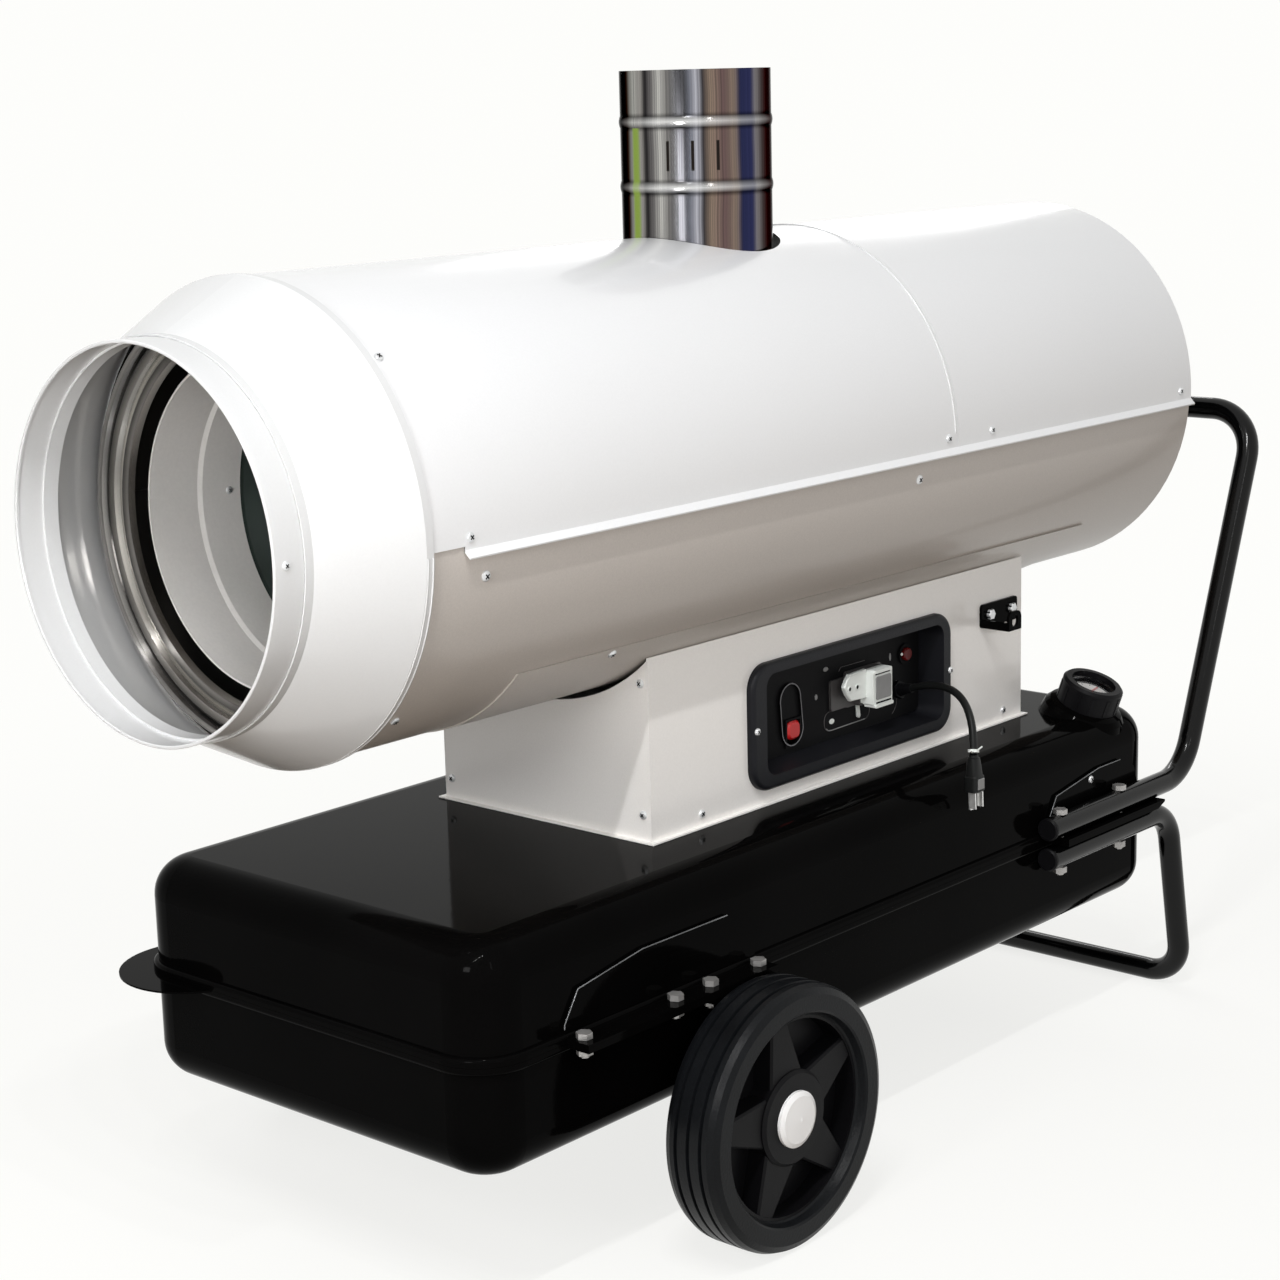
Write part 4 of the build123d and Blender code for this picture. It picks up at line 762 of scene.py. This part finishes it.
def gauge_dial():
    """Pale dial under the gauge's glass, with plain ticks."""
    base = Vector((0.4354, -0.1854, 0.346))
    way = Vector((0, -0.34, 0.94)).normalized()
    mesh = Mesh(DIAL, FACE)
    mesh.turned([(0.0224, 0), (0.0224, 0.0004), (0, 0.0004)], base + way * 0.0216, way, steps=48)
    right = Vector(RIGHT)
    up = way.cross(right)
    tick_end = 0.0210
    for tick in range(9):
        a = math.radians(200 - 27.5 * tick)
        ray = right * math.cos(a) + up * math.sin(a)
        side = way.cross(ray)
        long = 0.0045 if tick % 4 == 0 else 0.0028
        bar = [(tick_end - long, -0.0004), (tick_end, -0.0004), (tick_end, 0.0004), (tick_end - long, 0.0004)]
        mesh.prism(bar, base + way * 0.0219, ray, side, way, 0.0003, look=1)
    mesh.done("gauge_dial", "cap")


def bracket_highlight_lines():
    """Thin light grey lines along the edges of the tank's side brackets: painted highlights."""
    for name, x0, x1 in (("front", -0.475, -0.214), ("rear", 0.286, 0.474)):
        for hand, y in (("near", -0.2335), ("far", 0.2335)):
            points = [(x0, y, 0.252), (x0, y, 0.256), (x0 + 0.018, y, 0.284), (x0 + 0.103, y, 0.297),
                      (x1 - 0.040, y, 0.297)]
            ob = curve_object(f"bracket_edge_{name}_{hand}", "POLY", points, 0.0006, HIGHLIGHT_LINE)
            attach(ob, "heater")


casing_screws()
base_screws()
bracket_highlight_lines()
seam_lines()
panel_legends()
thermostat_connector()
switch_rocker()
gauge_dial()

# Stage and light

BACKDROP = (0.985, 0.985, 0.965, 1)
WORLD_STRENGTH = 0.6


def seen_directly(tree):
    """1 for camera, glossy and transmission rays, 0 for the light that falls on the object."""
    path = tree.nodes.new("ShaderNodeLightPath")
    either = maths(tree, "MAXIMUM", path.outputs["Is Camera Ray"], path.outputs["Is Glossy Ray"])
    return maths(tree, "MAXIMUM", either, path.outputs["Is Transmission Ray"])


def stage():
    """Floor that shows shade near the part and the backdrop's white far off, and throws back warm light."""
    half = 12.0
    corners = [(-half, -half, 0), (half, -half, 0), (half, half, 0), (-half, half, 0)]
    mesh = bpy.data.meshes.new("floor")
    mesh.from_pydata(corners, [], [(0, 1, 2, 3)])
    floor = bpy.data.objects.new("floor", mesh)
    scene.collection.objects.link(floor)
    m = bpy.data.materials.new("floor")
    m.use_nodes = True
    tree = m.node_tree
    n = tree.nodes
    n.clear()
    out = n.new("ShaderNodeOutputMaterial")
    shown = n.new("ShaderNodeBsdfDiffuse")
    shown.inputs["Color"].default_value = (0.22, 0.22, 0.215, 1)
    glow = n.new("ShaderNodeEmission")
    glow.inputs["Color"].default_value = BACKDROP
    glow.inputs["Strength"].default_value = 0.80
    near = n.new("ShaderNodeAddShader")
    tree.links.new(shown.outputs[0], near.inputs[0])
    tree.links.new(glow.outputs[0], near.inputs[1])
    far = n.new("ShaderNodeEmission")
    far.inputs["Color"].default_value = BACKDROP
    reach = vector_maths(tree, "LENGTH", n.new("ShaderNodeTexCoord").outputs["Object"])
    fade = n.new("ShaderNodeMapRange")
    fade.interpolation_type = "SMOOTHSTEP"
    fade.inputs["From Min"].default_value = 0.9
    fade.inputs["From Max"].default_value = 2.2
    tree.links.new(reach, fade.inputs["Value"])
    pale = n.new("ShaderNodeMixShader")
    tree.links.new(fade.outputs["Result"], pale.inputs[0])
    tree.links.new(near.outputs[0], pale.inputs[1])
    tree.links.new(far.outputs[0], pale.inputs[2])
    bounce = n.new("ShaderNodeBsdfDiffuse")
    bounce.inputs["Color"].default_value = (0.30, 0.25, 0.20, 1)
    mix = n.new("ShaderNodeMixShader")
    tree.links.new(seen_directly(tree), mix.inputs[0])
    tree.links.new(bounce.outputs[0], mix.inputs[1])
    tree.links.new(pale.outputs[0], mix.inputs[2])
    tree.links.new(mix.outputs[0], out.inputs[0])
    mesh.materials.append(m)


def world():
    """Soft light, stronger from above the control side's outlet end, and a plain white view."""
    w = bpy.data.worlds.new("studio")
    scene.world = w
    w.use_nodes = True
    tree = w.node_tree
    n = tree.nodes
    n.clear()
    out = n.new("ShaderNodeOutputWorld")
    way = n.new("ShaderNodeTexCoord").outputs["Generated"]
    soft = n.new("ShaderNodeBackground")
    soft.inputs["Strength"].default_value = WORLD_STRENGTH
    facing = dot(tree, way, (-0.55, -0.45, 0.70))
    light = greys(tree, spread(tree, facing, 0, 1, -1, 1), [(0.0, 0.18), (0.5, 0.20), (1.0, 1.0)])
    tree.links.new(light, soft.inputs["Color"])
    bright = n.new("ShaderNodeBackground")
    bright.inputs["Color"].default_value = BACKDROP
    bright.inputs["Strength"].default_value = 1.0
    mix = n.new("ShaderNodeMixShader")
    tree.links.new(seen_directly(tree), mix.inputs[0])
    tree.links.new(soft.outputs[0], mix.inputs[1])
    tree.links.new(bright.outputs[0], mix.inputs[2])
    tree.links.new(mix.outputs[0], out.inputs[0])


def lamp(name, place, aim, size, watts, mirrored=True):
    """A rectangular lamp; one that isn't mirrored stays out of reflections."""
    light = bpy.data.lights.new(name, "AREA")
    light.shape = "RECTANGLE"
    light.size, light.size_y = size
    light.energy = watts
    ob = bpy.data.objects.new(name, light)
    ob.location = place
    ob.rotation_euler = (Vector(aim) - Vector(place)).to_track_quat("-Z", "Y").to_euler()
    ob.visible_glossy = mirrored
    scene.collection.objects.link(ob)


LAMPS = [
    ("fill", (-2.6, -2.4, 1.0), (0, -0.1, 0.5), (1.2, 1.0), 19, False),
    ("near_side", (-1.3, -2.6, 1.1), (-0.5, 0, 0.8), (0.8, 0.8), 7, False),
    ("outlet", (-1.5, -0.45, 0.85), (-0.5, 0.05, 0.68), (0.25, 0.25), 4.5),
    ("strip", (-1.2, -2.2, 1.9), (0, 0, 0.4), (0.08, 0.9), 2),
    ("rear", (1.5, 2.8, 1.9), (0, 0, 0.6), (1.5, 1.2), 22, False),
    ("back", (2.1, 1.4, 1.7), (0.4, 0, 0.3), (1.2, 0.3), 8),
]
KEYS = 6
LAMPS += [(f"key_{number}", (-2.5 + 0.26 * number, -1.2, 3.15), (-0.2, 0, 0.6), (0.05, 0.05), 8.2)
          for number in range(KEYS)]

stage()
world()
for row in LAMPS:
    lamp(*row)
